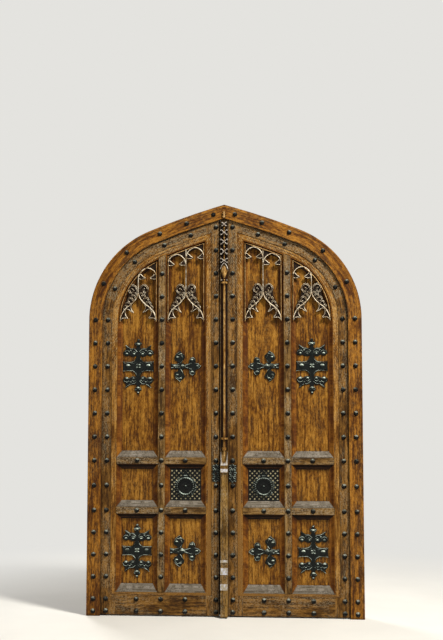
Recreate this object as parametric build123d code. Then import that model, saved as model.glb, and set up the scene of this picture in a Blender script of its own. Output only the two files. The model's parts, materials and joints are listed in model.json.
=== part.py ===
from build123d import *
from math import acos, cos, degrees, radians, sin, sqrt
import os

# Arched oak double door in its timber frame, in millimetres.
# X runs to the right, Y runs inward from the street side and Z runs up.
# The model is drawn with the front of the leaves at y = 0 and moved to its base centre at the end.

# Door opening, measured at the lip of the frame
opening_half_width = 1086.0
spring_height = 2580.0
haunch_radius = 737.0
haunch_angle = 67.7
crown_radius = 6200.0
arch_point_shares = (0.8, 0.6, 0.4, 0.2, 0.0)

# Timber frame
frame_face_width = 119.0
frame_proud = 20.0
lip_width = 12.0
lip_clearance = 1.5
frame_back_setback = 1.0

# Leaves
leaf_thickness = 70.0
leaf_edge_gap = 3.0
leaf_foot_gap = 10.0
meeting_gap = 11.0
right_tongue_width = 6.4
right_tongue_setback = 40.0
left_tongue_width = 2.9
left_tongue_setback = 50.0
stile_face_width = 84.0
meeting_line = 113.0
foot_line = 179.0
border_width = 48.0
border_foot_height = 25.0
border_setback = 5.0
border_thickness = 12.0
muntin_shift = 2.5
muntin_width = 60.0
cross_rail_height = 57.0
upper_rail_centre = 1339.5
lower_rail_centre = 907.5
joint_gap = 0.4

# Panels and their planted mouldings
panel_setback = 40.0
panel_thickness = 22.0
panel_tongue = 10.0
groove_clearance = 1.5
moulding_width = 45.0
moulding_fillet = 7.0
moulding_height = 33.0
ovolo_width = 18.0
ovolo_drop = 19.0
sill_width = 56.0
low_sill_width = 69.0

# Studs
stud_radius = 23.5
stud_height = 17.0
stud_sides = 4
nail_sides = 4
frame_stud_inset = 60.0
stile_stud_inset = 48.0
upper_stud_pitch = 206.0
lower_stud_pitch = 190.75
foot_stud_height = 41.0
foot_stud_pitch = 103.5
haunch_stud_shares = (0.355, 0.724)
frame_crown_stud_shares = (0.122, 0.503, 0.877)
leaf_crown_stud_shares = (0.122, 0.503)

# Tracery in the heads of the tall panels
tracery_setback = 4.0
tracery_seat_gap = 0.3
tracery_thickness = 13.6
rib_width = 11.0
mullion_width = 13.0
rib_drop = 17.0
ogee_foot_rise = 10.0
ogee_rise = 236.0
ogee_foot_drop = 18.0
light_head_rise = 78.0
light_head_gap = 12.0
light_room = 100.0

# Wrought ironwork
iron_thickness = 9.0
iron_edge_gap = 1.0
upper_cross_drop = 413.0
lower_cross_scale = 0.945
nail_radius = 17.0
nail_height = 12.0
strap_length = 268.0
strap_nail_place = 0.34
cross_nail_place = 0.66
ring_plate_thickness = 6.0
ring_plate_hole = 24.0
ring_plate_rows = 3
escutcheon_width = 70.0
escutcheon_gap = 4.5
escutcheon_thickness = 5.0
keyhole_radius = 6.0

# Ring pulls
ring_outer_radius = 81.0
ring_bar_radius = 9.0
ring_bevel = 0.55
ring_sides = 10
ring_stand_off = 14.0
ring_pivot_drop = 61.0
ring_pivot_rise = 94.0
ring_pin_radius = 5.0
running_clearance = 0.05
knuckle_radius = 9.0
knuckle_length = 22.0
ear_thickness = 7.0
ear_gap = 0.4

# Cover bar over the meeting joint
bar_width = 68.0
bar_foot_width = 62.6
bar_board_depth = 12.0
bar_depth = 40.0
bar_head_gap = 29.0
ledge_height = 1272.0
ledge_drop = 32.0
ledge_depth = 52.0
bar_block_height = 30.0
stop_height = 116.0
set_offs = ((491.0, 21.0, 46.0), (424.0, 56.0, 54.0), (289.0, 51.0, 62.0))
drip = 4.0
shaft_radius = 9.5
shaft_foot_rise = 108.0
annulet_radius = 29.0
annulet_height = 15.0
cross_annulet_rise = 262.0
knob_radius = 18.0
knob_height = 26.0
knob_rise = 172.0
bulb_foot_drop = 532.0
bulb_top_drop = 370.0
bulb_half_width = 31.0
bulb_foot_half_width = 7.0
pinnacle_depth = 22.0
pinnacle_stem = 6.0
crocket_drops = (334.0, 285.0, 196.0, 109.0)
crocket_reach = 28.0
bead_drops = (73.0, 48.0, 20.0)
bead_radius = 13.0
finial_rise = 14.0
finial_pitch = 24.0

# Hook and band hinges
hinge_foot_height = 420.0
hinge_head_drop = 160.0
hinge_outset = 14.0
hinge_stand_off = 15.0
hinge_pin_radius = 8.0
hinge_eye_radius = 15.0
eye_flat = 0.9
hinge_eye_height = 46.0
hinge_band_height = 46.0
hinge_band_tip = 24.0
hinge_band_length = 800.0
hinge_band_thickness = 8.0
hook_plate_width = 62.0
hook_plate_height = 130.0
hook_boss_height = 34.0
hook_gap = 0.5
hook_plate_gap = 8.0
pin_rise = 10.0

# Rim lock on the left leaf and shoot bolts on the right leaf
lock_width = 130.0
lock_case_height = 180.0
lock_depth = 34.0
lock_wall = 6.0
lock_bolt_width = 36.0
lock_bolt_thickness = 14.0
lock_bolt_length = 80.0
lock_travel = 30.0
slide_clearance = 0.5
keeper_width = 46.0
shoot_bolt_size = 16.0
shoot_bolt_place = 92.0
shoot_bolt_length = 560.0
shoot_bolt_knob = 26.0
shoot_bolt_travel = 30.0
guide_size = 34.0
guide_inset = 60.0
keeper_gap = 8.0
top_bolt_rise = 37.0
foot_bolt_rise = 4.0

# Places worked out from the sizes above
beyond = spring_height + 2 * opening_half_width
frame_front = -frame_proud
frame_back = leaf_thickness - frame_back_setback
frame_outer = opening_half_width + frame_face_width
leaf_edge = opening_half_width + lip_width - leaf_edge_gap
stile_line = opening_half_width - stile_face_width
opening_outer = stile_line - border_width
opening_inner = meeting_line + border_width
opening_foot = foot_line + border_foot_height
muntin_centre = (opening_inner + opening_outer) / 2 - muntin_shift
arch_opening_inset = stile_face_width + border_width
arch_clear_inset = arch_opening_inset + joint_gap
muntin_low = muntin_centre - muntin_width / 2
muntin_high = muntin_centre + muntin_width / 2
border_back = border_setback + border_thickness
right_meeting_edge = -bar_width / 2
left_meeting_edge = bar_width / 2 + meeting_gap
haunch_centre = opening_half_width - haunch_radius
crown_centre = (
    haunch_centre + (haunch_radius - crown_radius) * cos(radians(haunch_angle)),
    spring_height + (haunch_radius - crown_radius) * sin(radians(haunch_angle)),
)
crown_height = crown_centre[1] + sqrt(crown_radius**2 - crown_centre[0] ** 2)
upper_rail = (upper_rail_centre - cross_rail_height / 2, upper_rail_centre + cross_rail_height / 2)
lower_rail = (lower_rail_centre - cross_rail_height / 2, lower_rail_centre + cross_rail_height / 2)
middle_stud_height = (lower_rail_centre + upper_rail_centre) / 2
meeting_stud_place = (bar_width / 2 + meeting_line) / 2
lock_height = (middle_stud_height + upper_rail_centre) / 2
escutcheon_height = upper_rail_centre - middle_stud_height - 2 * (stud_radius + escutcheon_gap)
ogee_foot = spring_height + ogee_foot_rise
ogee_apex = ogee_foot + ogee_rise
tracery_back = tracery_setback + tracery_thickness
ovolo_depth = moulding_height - (panel_setback - tracery_back)
tracery_margin = moulding_fillet + ovolo_depth * ovolo_width / ovolo_drop + tracery_seat_gap
upper_cross_height = spring_height - upper_cross_drop
lower_cross_height = (opening_foot + low_sill_width + lower_rail[0] - moulding_width) / 2
plate_front = panel_setback - ring_plate_thickness
ring_y = plate_front - ring_stand_off
ring_pivot_height = upper_rail[0] - moulding_width - ring_pivot_drop
ring_height = ring_pivot_height - ring_pivot_rise
bar_top = crown_height - bar_head_gap
shaft_y = -bar_board_depth - shaft_radius / 2
shaft_foot = ledge_height + shaft_foot_rise
shaft_head = bar_top - bulb_foot_drop
hinge_x = opening_half_width + hinge_outset
hinge_y = leaf_thickness + hinge_stand_off
hinge_heights = (hinge_foot_height, spring_height - hinge_head_drop)
foot_bolt_tip = leaf_foot_gap + foot_bolt_rise
model_front = -max(depth for top, drop, depth in set_offs)
model_back = leaf_thickness + max(lock_depth, hinge_stand_off + hinge_eye_radius)
base_shift = Location((0, -(model_front + model_back) / 2, 0))

columns = {"inner": (opening_inner, muntin_low), "outer": (muntin_high, opening_outer)}
tiers = {
    "upper": (upper_rail[1], beyond),
    "middle": (lower_rail[1], upper_rail[0]),
    "lower": (opening_foot, lower_rail[0]),
}
sill_widths = {"upper": sill_width, "middle": sill_width, "lower": low_sill_width}


# Flat outlines, drawn in x and z
def rectangle(x_low, x_high, z_low, z_high):
    return Pos((x_low + x_high) / 2, (z_low + z_high) / 2) * Rectangle(x_high - x_low, z_high - z_low)


def polygon(points):
    return make_face(Polyline(*points, close=True))


def crown_angle(inset):
    return degrees(acos(-crown_centre[0] / (crown_radius - inset)))


def arch_height(x, inset):
    if abs(x) > haunch_centre + (haunch_radius - inset) * cos(radians(haunch_angle)):
        return spring_height + sqrt((haunch_radius - inset) ** 2 - (abs(x) - haunch_centre) ** 2)
    return crown_centre[1] + sqrt((crown_radius - inset) ** 2 - (abs(x) - crown_centre[0]) ** 2)


def arch_points(inset, x_low, x_high):
    points = [(x_low, arch_height(x_low, inset))]
    haunch = haunch_radius - inset
    if x_high < haunch_centre + haunch * cos(radians(haunch_angle)):
        return points + [(x_high, arch_height(x_high, inset))]
    first = min(radians(haunch_angle), acos(min(1, (x_low - haunch_centre) / haunch)))
    turns = [first * share for share in arch_point_shares]
    return points + [(haunch_centre + haunch * cos(turn), spring_height + haunch * sin(turn)) for turn in turns]


def arch_face(inset, foot):
    half = opening_half_width - inset
    haunch = CenterArc((haunch_centre, spring_height), haunch_radius - inset, 0, haunch_angle)
    crown_span = crown_angle(inset) - haunch_angle
    crown = CenterArc(crown_centre, crown_radius - inset, haunch_angle, crown_span)
    right = [Line((half, foot), (half, spring_height)), haunch, crown]
    left = [edge.mirror(Plane.YZ) for edge in right]
    return make_face([Line((-half, foot), (half, foot))] + right + left)


def board(outline, front, back):
    plane = Plane(origin=(0, back, 0), x_dir=(1, 0, 0), z_dir=(0, -1, 0))
    return extrude(plane * outline, amount=back - front)


def opening_outline(column, tier, margin=0.0):
    x_low, x_high = columns[column]
    z_low, z_high = tiers[tier]
    box = rectangle(x_low + margin, x_high - margin, z_low + margin, z_high - margin)
    return arch_face(arch_clear_inset + margin, 0) & box


top_bolt_tip = arch_height(shoot_bolt_place, 0) + top_bolt_rise
line_face = arch_face(stile_face_width, 0) & rectangle(meeting_line, stile_line, foot_line, beyond)
field_face = arch_face(arch_opening_inset, 0) & rectangle(opening_inner, opening_outer, opening_foot, beyond)
clear_field_face = arch_face(arch_clear_inset, 0) & rectangle(
    opening_inner, opening_outer, opening_foot, beyond
)


# Frame
def frame_jamb():
    section = polygon(
        [
            (opening_half_width, frame_front),
            (frame_outer, frame_front),
            (frame_outer, frame_back),
            (opening_half_width + lip_width, frame_back),
            (opening_half_width + lip_width, -lip_clearance),
            (opening_half_width, -lip_clearance),
        ]
    )
    return extrude(section, amount=spring_height)


def frame_head():
    window = rectangle(0, frame_outer, spring_height, beyond)
    outer = arch_face(-frame_face_width, 0)
    head = board((outer - arch_face(0, 0)) & window, frame_front, frame_back)
    return head - board(arch_face(-lip_width, 0), -lip_clearance, frame_back)


# Panels, grooves and the timber members of one leaf
def panel_outline(column, tier, clearance):
    x_low, x_high = columns[column]
    z_low, z_high = tiers[tier]
    grow = panel_tongue + clearance
    if tier != "upper":
        return rectangle(x_low - grow, x_high + grow, z_low - grow, z_high + grow)
    body = rectangle(x_low - grow, x_high + grow, z_low - grow, spring_height)
    head_low = x_low - grow
    head_high = x_high if column == "outer" else x_high + grow
    inset = arch_clear_inset + groove_clearance - clearance
    points = arch_points(inset, head_low, head_high)
    return body + polygon([(head_low, spring_height - grow)] + points + [(points[-1][0], spring_height - grow)])


def panels(tier):
    back = panel_setback + panel_thickness
    return [board(panel_outline(column, tier, 0), panel_setback, back) for column in columns]


def grooves():
    back = panel_setback + panel_thickness
    cuts = []
    for tier in tiers:
        for column in columns:
            cuts.append(board(panel_outline(column, tier, groove_clearance), panel_setback, back))
    return cuts


groove_cuts = grooves()
border_seat = board(line_face, -1, border_back)


def leaf_outline():
    inset = leaf_edge_gap - lip_width
    return arch_face(inset, leaf_foot_gap) & rectangle(-bar_width, leaf_edge, leaf_foot_gap, beyond)


def framed(outline):
    return board(outline, 0, leaf_thickness) - border_seat - groove_cuts


def outer_stile():
    return framed(leaf_outline() & rectangle(opening_outer, leaf_edge, 0, spring_height))


def meeting_stile(front_edge, tongue_width, tongue_setback):
    back_edge = front_edge - tongue_width
    stile = framed(leaf_outline() & rectangle(back_edge, opening_inner, 0, beyond))
    return stile - board(rectangle(back_edge, front_edge, 0, beyond), 0, tongue_setback)


def arched_stile():
    window = rectangle(opening_inner, leaf_edge, spring_height, beyond)
    return framed((leaf_outline() & window) - arch_face(arch_opening_inset, 0))


def foot_rail():
    return framed(rectangle(opening_inner, opening_outer, leaf_foot_gap, opening_foot))


def inner_member(outline):
    return board(outline & clear_field_face, 0, leaf_thickness) - groove_cuts


def muntin():
    return inner_member(rectangle(muntin_low, muntin_high, 0, beyond))


def cross_rails():
    rails = []
    for z_low, z_high in (upper_rail, lower_rail):
        rails += [inner_member(rectangle(x_low, x_high, z_low, z_high)) for x_low, x_high in columns.values()]
    return rails


def border():
    return board(line_face - field_face, border_setback, border_back)


# Planted moulding round each panel, mitred at its corners
def side_profile():
    crest = (moulding_fillet + ovolo_width, moulding_height - ovolo_drop)
    points = [(0, 0), (0, moulding_height), (moulding_fillet, moulding_height), crest]
    return polygon(points + [(moulding_width, 0)])


def sill_profile(width):
    points = [(0, 0), (0, moulding_height), (moulding_fillet, moulding_height)]
    return polygon(points + [(width, 0)])


def straight_run(profile, start, end):
    length = sqrt((end[0] - start[0]) ** 2 + (end[1] - start[1]) ** 2)
    along = ((end[0] - start[0]) / length, (end[1] - start[1]) / length)
    origin = (start[0], panel_setback, start[1])
    plane = Plane(origin=origin, x_dir=(-along[1], 0, along[0]), z_dir=(along[0], 0, along[1]))
    return extrude(plane * profile, amount=length)


def curved_run(profile, centre, radius, start_angle, span):
    turn = radians(start_angle)
    origin = (centre[0] + radius * cos(turn), panel_setback, centre[1] + radius * sin(turn))
    plane = Plane(origin=origin, x_dir=(-cos(turn), 0, -sin(turn)), z_dir=(-sin(turn), 0, cos(turn)))
    axis = Axis((centre[0], 0, centre[1]), (0, -1, 0))
    return revolve(plane * profile, axis, revolution_arc=span)


def moulding(column, tier):
    x_low, x_high = columns[column]
    z_low, z_high = tiers[tier]
    profile = side_profile()
    head = min(z_high, crown_height)
    runs = [
        straight_run(sill_profile(sill_widths[tier]), (x_low, z_low), (x_high, z_low)),
        straight_run(profile, (x_high, z_low), (x_high, head)),
        straight_run(profile, (x_low, head), (x_low, z_low)),
    ]
    if tier == "upper":
        haunch = haunch_radius - arch_clear_inset
        crown = crown_radius - arch_clear_inset
        crown_span = crown_angle(arch_clear_inset) - haunch_angle
        if column == "outer":
            runs.append(curved_run(profile, (haunch_centre, spring_height), haunch, 0, haunch_angle))
        runs.append(curved_run(profile, crown_centre, crown, haunch_angle, crown_span))
    else:
        runs.append(straight_run(profile, (x_high, z_high), (x_low, z_high)))
    ring = runs[0].fuse(*runs[1:])
    return ring & board(opening_outline(column, tier), 0, panel_setback)


def mouldings():
    return [moulding(column, tier) for tier in tiers for column in columns]


# Tracery of one tall panel
def ribbon(points):
    return polygon(points + [(x, z - rib_drop) for x, z in reversed(points)])


def light_head(x_low, x_high, head):
    middle = (x_low + x_high) / 2
    half = (x_high - x_low) / 2
    arch = [(-1, 0.1), (0, 1), (1, 0.1)]
    cusp = [(1, 0.3), (0.32, -0.12), (1, -0.34)]
    spring = head - light_head_rise
    shapes = [ribbon([(middle + x * half, spring + z * light_head_rise) for x, z in arch])]
    for side in (-1, 1):
        shapes.append(polygon([(middle + side * x * half, spring + z * light_head_rise) for x, z in cusp]))
    return shapes


def ogee(middle, span):
    rib = [(0, 0), (0.23, -0.32), (0.64, -0.55), (1, -1)]
    leaves = [
        [(0, -0.02), (0.12, 0.22), (0.44, 0.26), (0.52, -0.02), (0.24, -0.36)],
        [(0.34, -0.4), (0.55, -0.2), (0.76, -0.34), (0.62, -0.58)],
    ]
    cusps = [[(0.36, -0.44), (0.28, -0.73), (0.66, -0.6)], [(0.84, -0.8), (0.6, -0.94), (1, -1.05)]]
    shapes = []
    for side in (-1, 1):
        shapes.append(ribbon([(middle + side * x * span, ogee_apex + z * ogee_rise) for x, z in rib]))
        for outline in leaves + cusps:
            shapes.append(polygon([(middle + side * x * span, ogee_apex + z * ogee_rise) for x, z in outline]))
    return shapes


def tracery_window(column, inset):
    points = arch_points(arch_clear_inset + inset, columns[column][0] + inset, columns[column][1] - inset)
    low = ogee_foot - ogee_foot_drop
    return polygon([(points[0][0], low)] + points + [(points[-1][0], low)])


def tracery(column):
    window = tracery_window(column, tracery_margin)
    left = columns[column][0] + tracery_margin
    right = columns[column][1] - tracery_margin
    middle = (left + right) / 2
    outline = window - tracery_window(column, tracery_margin + rib_width)
    outline += rectangle(middle - mullion_width / 2, middle + mullion_width / 2, ogee_apex - rib_width, beyond)
    shapes = ogee(middle, (right - left) / 2)
    for low, high in ((left, middle), (middle, right)):
        head = arch_height((low + high) / 2, arch_clear_inset + tracery_margin) - light_head_gap
        if head - light_head_rise > ogee_apex + light_room:
            shapes += light_head(low, high, head)
    for shape in shapes:
        outline += shape
    return board(outline & window, tracery_setback, tracery_back)


# Ironwork on the panels
def mirrored(shapes, plane):
    return shapes + [shape.mirror(plane) for shape in shapes]


def scaled(points, size):
    return polygon([(x * size, y * size) for x, y in points])


def nail(place, face, radius, height, sides):
    outline = RegularPolygon(radius, sides)
    plane = Plane(origin=(place[0], face, place[1]), x_dir=(1, 0, 0), z_dir=(0, -1, 0))
    return loft([(plane * outline).face(), Vertex(place[0], face - height, place[1])])


def iron(outline, centre, nails):
    whole = outline[0]
    for shape in outline[1:]:
        whole += shape
    front = panel_setback - iron_thickness
    pieces = [board(Pos(*centre) * whole, front, panel_setback)]
    for shift, radius in nails:
        pieces.append(nail((centre[0] + shift, centre[1]), front, radius, nail_height, nail_sides))
    return pieces


def iron_cross(centre, width, size):
    unit = size * width / 2
    band = [(0, 0), (width / 2 / unit, 0), (width / 2 / unit, 0.24), (0, 0.36)]
    stem = [(0, 0), (0.11, 0.2), (0.09, 1.3), (0.2, 1.48), (0, 1.78)]
    scroll = [(0.05, 0.7), (0.92, 0.62), (0.78, 1.3), (0.05, 0.98)]
    quarter = [scaled(points, unit) for points in (band, stem, scroll)]
    shapes = mirrored(mirrored(quarter, Plane.YZ), Plane.XZ)
    place = unit * cross_nail_place
    return iron(shapes, centre, ((-place, nail_radius), (place, nail_radius), (0, nail_radius * 1.5)))


def strap_end(base, size):
    body = [(0, 0), (0, 0.11), (0.85, 0.08), (1, 0)]
    first_lobe = [(0.24, 0.05), (0.12, 0.32), (0.3, 0.5), (0.44, 0.3), (0.36, 0.05)]
    second_lobe = [(0.62, 0.03), (0.7, 0.28), (0.82, 0.03)]
    half = [scaled(points, size).mirror(Plane.YZ) for points in (body, first_lobe, second_lobe)]
    return iron(mirrored(half, Plane.XZ), base, ((-strap_nail_place * size, nail_radius * 1.2),))


def cross_ornaments():
    x_low, x_high = columns["outer"]
    width = x_high - x_low - 2 * (moulding_width + iron_edge_gap)
    middle = (x_low + x_high) / 2
    upper = iron_cross((middle, upper_cross_height), width, 1)
    return upper + iron_cross((middle, lower_cross_height), width, lower_cross_scale)


def strap_ends():
    base = columns["inner"][1] - moulding_width - iron_edge_gap
    return strap_end((base, upper_cross_height), strap_length) + strap_end((base, lower_cross_height), strap_length)


# Ring pull on its pierced plate
def ring_field():
    x_low, x_high = columns["inner"]
    z_low, z_high = tiers["middle"]
    gap = moulding_width + iron_edge_gap
    return x_low + gap, x_high - gap, z_low + sill_widths["middle"] + iron_edge_gap, z_high - gap


def ring_plate():
    x_low, x_high, z_low, z_high = ring_field()
    outline = rectangle(x_low, x_high, z_low, z_high)
    middle = ((x_low + x_high) / 2, (z_low + z_high) / 2)
    pitch_x = (x_high - x_low) / ring_plate_rows
    pitch_z = (z_high - z_low) / ring_plate_rows
    for across, up in ((-1, -1), (1, -1), (-1, 1), (1, 1)):
        place = Pos(middle[0] + across * pitch_x, middle[1] + up * pitch_z)
        outline -= place * RegularPolygon(ring_plate_hole, 4)
    return board(outline, plate_front, panel_setback)


def ring_middle():
    return sum(columns["inner"]) / 2


def lying_bar(x_low, x_high, y, z, section):
    plane = Plane(origin=(x_low, y, z), x_dir=(0, 1, 0), z_dir=(1, 0, 0))
    return extrude(plane * section, amount=x_high - x_low)


def ring_hanger():
    middle = ring_middle()
    crown = polygon([(0, -16), (24, -14), (46, 34), (22, 24), (0, 50)])
    outline = crown + crown.mirror(Plane.YZ)
    body = board(Pos(middle, ring_pivot_height) * outline, plate_front - 4, plate_front)
    for side in (-1, 1):
        place = middle + side * (knuckle_length / 2 + ear_gap + ear_thickness / 2)
        ear_front = ring_y - knuckle_radius
        ear = Pos(place, (ear_front + plate_front) / 2, ring_pivot_height)
        body += ear * Box(ear_thickness, plate_front - ear_front, 1.6 * knuckle_radius)
    half = knuckle_length / 2 + ear_gap + ear_thickness / 2
    return body + lying_bar(middle - half, middle + half, ring_y, ring_pivot_height, Circle(ring_pin_radius))


def pull_ring():
    middle = ring_middle()
    outer = RegularPolygon(ring_outer_radius, ring_sides)
    inner = RegularPolygon(ring_outer_radius - 2 * ring_bar_radius, ring_sides)
    blank = Pos(middle, ring_height) * (outer - inner)
    ring = board(blank, ring_y - ring_bar_radius, ring_y + ring_bar_radius)
    rims = ring.edges().filter_by(Plane.XZ)
    ring = chamfer(rims, ring_bar_radius * ring_bevel)
    half = knuckle_length / 2
    section = RegularPolygon(knuckle_radius, 8, rotation=22.5)
    knuckle = lying_bar(middle - half, middle + half, ring_y, ring_pivot_height, section)
    neck_low = ring_height + ring_outer_radius - ring_bar_radius
    neck = Pos(middle, ring_y, (neck_low + ring_pivot_height) / 2)
    ring += knuckle
    ring += neck * Box(knuckle_length - 6, ring_bar_radius, ring_pivot_height - neck_low)
    bore = Circle(ring_pin_radius + running_clearance)
    return ring - lying_bar(middle - half - 1, middle + half + 1, ring_y, ring_pivot_height, bore)


def escutcheon():
    half_w = escutcheon_width / 2
    half_h = escutcheon_height / 2
    shares = [(0, 0), (0.9, 0), (0.6, 0.5), (1, 0.78), (0, 1)]
    quarter = polygon([(x * half_w, z * half_h) for x, z in shares])
    shapes = mirrored(mirrored([quarter], Plane.YZ), Plane.XZ)
    outline = shapes[0] + shapes[1] + shapes[2] + shapes[3]
    keyhole = RegularPolygon(keyhole_radius, 6) + rectangle(
        -keyhole_radius / 2, keyhole_radius / 2, -3 * keyhole_radius, 0
    )
    return board(Pos(meeting_stud_place, lock_height) * (outline - keyhole), -escutcheon_thickness, 0)


# Studs
def stud(x, z, face):
    return nail((x, z), face, stud_radius, stud_height, stud_sides)


def even_heights(low, high, pitch):
    count = round((high - low) / pitch)
    return [low + (high - low) * index / count for index in range(count + 1)]


def jamb_stud_heights():
    foot = foot_stud_height + foot_stud_pitch
    low = even_heights(foot, lower_rail_centre, lower_stud_pitch)
    high = even_heights(upper_rail_centre, spring_height, upper_stud_pitch)
    return [foot_stud_height] + low + [middle_stud_height] + high


def arch_stud_places(inset, crown_shares):
    haunch = haunch_radius - inset
    turns = [radians(haunch_angle) * share for share in haunch_stud_shares]
    places = [(haunch_centre + haunch * cos(turn), spring_height + haunch * sin(turn)) for turn in turns]
    crown = crown_radius - inset
    crown_span = crown_angle(0) - haunch_angle
    turns = [radians(haunch_angle + crown_span * share) for share in crown_shares]
    return places + [(crown_centre[0] + crown * cos(turn), crown_centre[1] + crown * sin(turn)) for turn in turns]


def frame_studs():
    places = [(opening_half_width + frame_stud_inset, z) for z in jamb_stud_heights()]
    places += arch_stud_places(-frame_stud_inset, frame_crown_stud_shares)
    return [stud(x, z, frame_front) for x, z in places]


def leaf_studs():
    heights = jamb_stud_heights()
    places = [(opening_half_width - stile_stud_inset, z) for z in heights]
    places += arch_stud_places(stile_stud_inset, leaf_crown_stud_shares)
    head = arch_height(meeting_stud_place, stile_stud_inset - stud_radius / 2)
    rise = heights[-1]
    while rise + upper_stud_pitch < head:
        rise += upper_stud_pitch
        heights.append(rise)
    places += [(meeting_stud_place, z) for z in heights]
    muntin_top = arch_height(muntin_centre, arch_opening_inset) - stud_radius
    places += [(muntin_centre, z) for z in heights if z < muntin_top]
    for x_low, x_high in columns.values():
        middle = (x_low + x_high) / 2
        levels = (foot_stud_height, foot_stud_height + foot_stud_pitch, lower_rail_centre, upper_rail_centre)
        places += [(middle, z) for z in levels]
    return [stud(x, z, 0) for x, z in places]


# Cover bar, shaft and pinnacle on the right leaf
def bar_side():
    ledge_low = ledge_height - ledge_drop
    stop_top = ledge_height + bar_block_height + stop_height
    points = [(-bar_board_depth, stop_top), (-bar_depth, ledge_height + bar_block_height)]
    points += [(-bar_depth, ledge_height), (-ledge_depth, ledge_low + drip), (-ledge_depth, ledge_low)]
    points.append((-bar_depth, ledge_low))
    depth = bar_depth
    for top, fall, next_depth in set_offs:
        foot = top - fall
        points += [(-depth, top), (-next_depth, foot), (-next_depth, foot - drip)]
        depth = next_depth - drip / 2
        points.append((-depth, foot - drip))
    return polygon(points + [(-depth, leaf_foot_gap), (0, leaf_foot_gap), (0, stop_top)])


def cover_bar():
    half = bar_width / 2
    back_board = board(rectangle(-half, half, leaf_foot_gap, bar_top), -bar_board_depth, 0)
    plane = Plane(origin=(-bar_foot_width / 2, 0, 0), x_dir=(0, 1, 0), z_dir=(1, 0, 0))
    return back_board + extrude(plane * bar_side(), amount=bar_foot_width)


def on_bar(body, radius, z_low, z_high):
    front_half = Pos(0, -bar_board_depth - radius, (z_low + z_high) / 2)
    return body & front_half * Box(2 * radius, 2 * radius, z_high - z_low)


def shaft():
    section = RegularPolygon(shaft_radius, 6)
    body = Pos(0, shaft_y, shaft_foot) * extrude(section, amount=shaft_head - shaft_foot)
    return on_bar(body, 2 * shaft_radius, shaft_foot, shaft_head)


def annulet(z, radius, height):
    low = z - height / 2
    section = RegularPolygon(radius, 6)
    return on_bar(Pos(0, shaft_y, low) * extrude(section, amount=height), radius, low, low + height)


def cover_shaft():
    body = shaft() + annulet(ledge_height + knob_rise, knob_radius, knob_height)
    for z in (ledge_height + cross_annulet_rise, shaft_head - annulet_height):
        body += annulet(z, annulet_radius, annulet_height)
    return body - cover_bar()


def pinnacle_board(outline):
    return board(outline, -bar_board_depth - pinnacle_depth, -bar_board_depth)


def bulb():
    top = bar_top - bulb_top_drop
    widest = (shaft_head + top) / 2
    right = [(bulb_foot_half_width, shaft_head), (bulb_half_width, widest), (bulb_half_width * 0.8, (widest + top) / 2)]
    right.append((pinnacle_stem, top))
    return polygon(right + [(-x, z) for x, z in reversed(right)])


def pinnacle():
    top_bead = bar_top - min(bead_drops)
    outline = bulb() + rectangle(-pinnacle_stem, pinnacle_stem, shaft_head, top_bead)
    arm = [(0, -0.2), (0.55, 0), (1, 0.75), (0, 0.4)]
    for drop in crocket_drops:
        for side in (-1, 1):
            shape = [(side * x * crocket_reach, z * crocket_reach) for x, z in arm]
            outline += Pos(0, bar_top - drop) * polygon(shape)
    for drop in bead_drops:
        outline += Pos(0, bar_top - drop) * RegularPolygon(bead_radius, 4)
    return pinnacle_board(outline)


def head_finial():
    low_bead = crown_height + finial_rise
    outline = rectangle(-pinnacle_stem, pinnacle_stem, low_bead, low_bead + 2 * finial_pitch)
    for index in range(2):
        outline += Pos(0, low_bead + index * finial_pitch) * RegularPolygon(bead_radius, 4)
    return board(outline, frame_front - pinnacle_depth, frame_front)


# Hinges
def standing_bar(x, y, z_low, z_high, radius):
    return Pos(x, y, z_low) * extrude(Circle(radius), amount=z_high - z_low)


def square_bar(x, y, z_low, z_high, size):
    return Pos(x, y, (z_low + z_high) / 2) * Box(size, size, z_high - z_low)


def eye_outline():
    return RegularPolygon(hinge_eye_radius, 8, rotation=22.5)


def hinge_bands():
    bands = []
    for z in hinge_heights:
        half = hinge_band_height / 2
        tip = hinge_x - hinge_band_length
        neck = tip + 2 * hinge_band_tip
        outline = [(hinge_x, z - half), (hinge_x, z + half), (neck, z + half / 2), (tip, z), (neck, z - half / 2)]
        band = board(polygon(outline), leaf_thickness, leaf_thickness + hinge_band_thickness)
        eye_low = z - hinge_eye_height / 2
        eye_high = z + hinge_eye_height / 2
        band += Pos(hinge_x, hinge_y, eye_low) * extrude(eye_outline(), amount=hinge_eye_height)
        bore = hinge_pin_radius + running_clearance
        bands.append(band - standing_bar(hinge_x, hinge_y, eye_low - 1, eye_high + 1, bore))
    return bands


def hinge_hooks():
    hooks = []
    for z in hinge_heights:
        eye_low = z - hinge_eye_height / 2
        boss_top = eye_low - hook_gap
        boss_low = boss_top - hook_boss_height
        plate_low = hinge_x + hinge_eye_radius + hook_plate_gap
        plate = Pos(plate_low + hook_plate_width / 2, z) * Rectangle(hook_plate_width, hook_plate_height)
        hook = board(plate, frame_back, frame_back + hinge_band_thickness)
        boss = Pos(hinge_x, hinge_y, boss_low) * extrude(eye_outline(), amount=hook_boss_height)
        arm_high = plate_low + hinge_band_thickness
        arm = Pos((hinge_x + arm_high) / 2, hinge_y, (boss_low + boss_top) / 2)
        hook += boss + arm * Box(arm_high - hinge_x, 2 * hinge_eye_radius * eye_flat, hook_boss_height)
        pin_top = z + hinge_eye_height / 2 + pin_rise
        hook += standing_bar(hinge_x, hinge_y, boss_top, pin_top, hinge_pin_radius)
        hooks.append(hook)
    return hooks


# Lock and bolts, on the inner face
def lock_slot(grow, x_low, x_high):
    y = leaf_thickness + lock_depth / 2
    middle = Pos((x_low + x_high) / 2, y, lock_height)
    return middle * Box(x_high - x_low, lock_bolt_thickness + 2 * grow, lock_bolt_width + 2 * grow)


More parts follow.
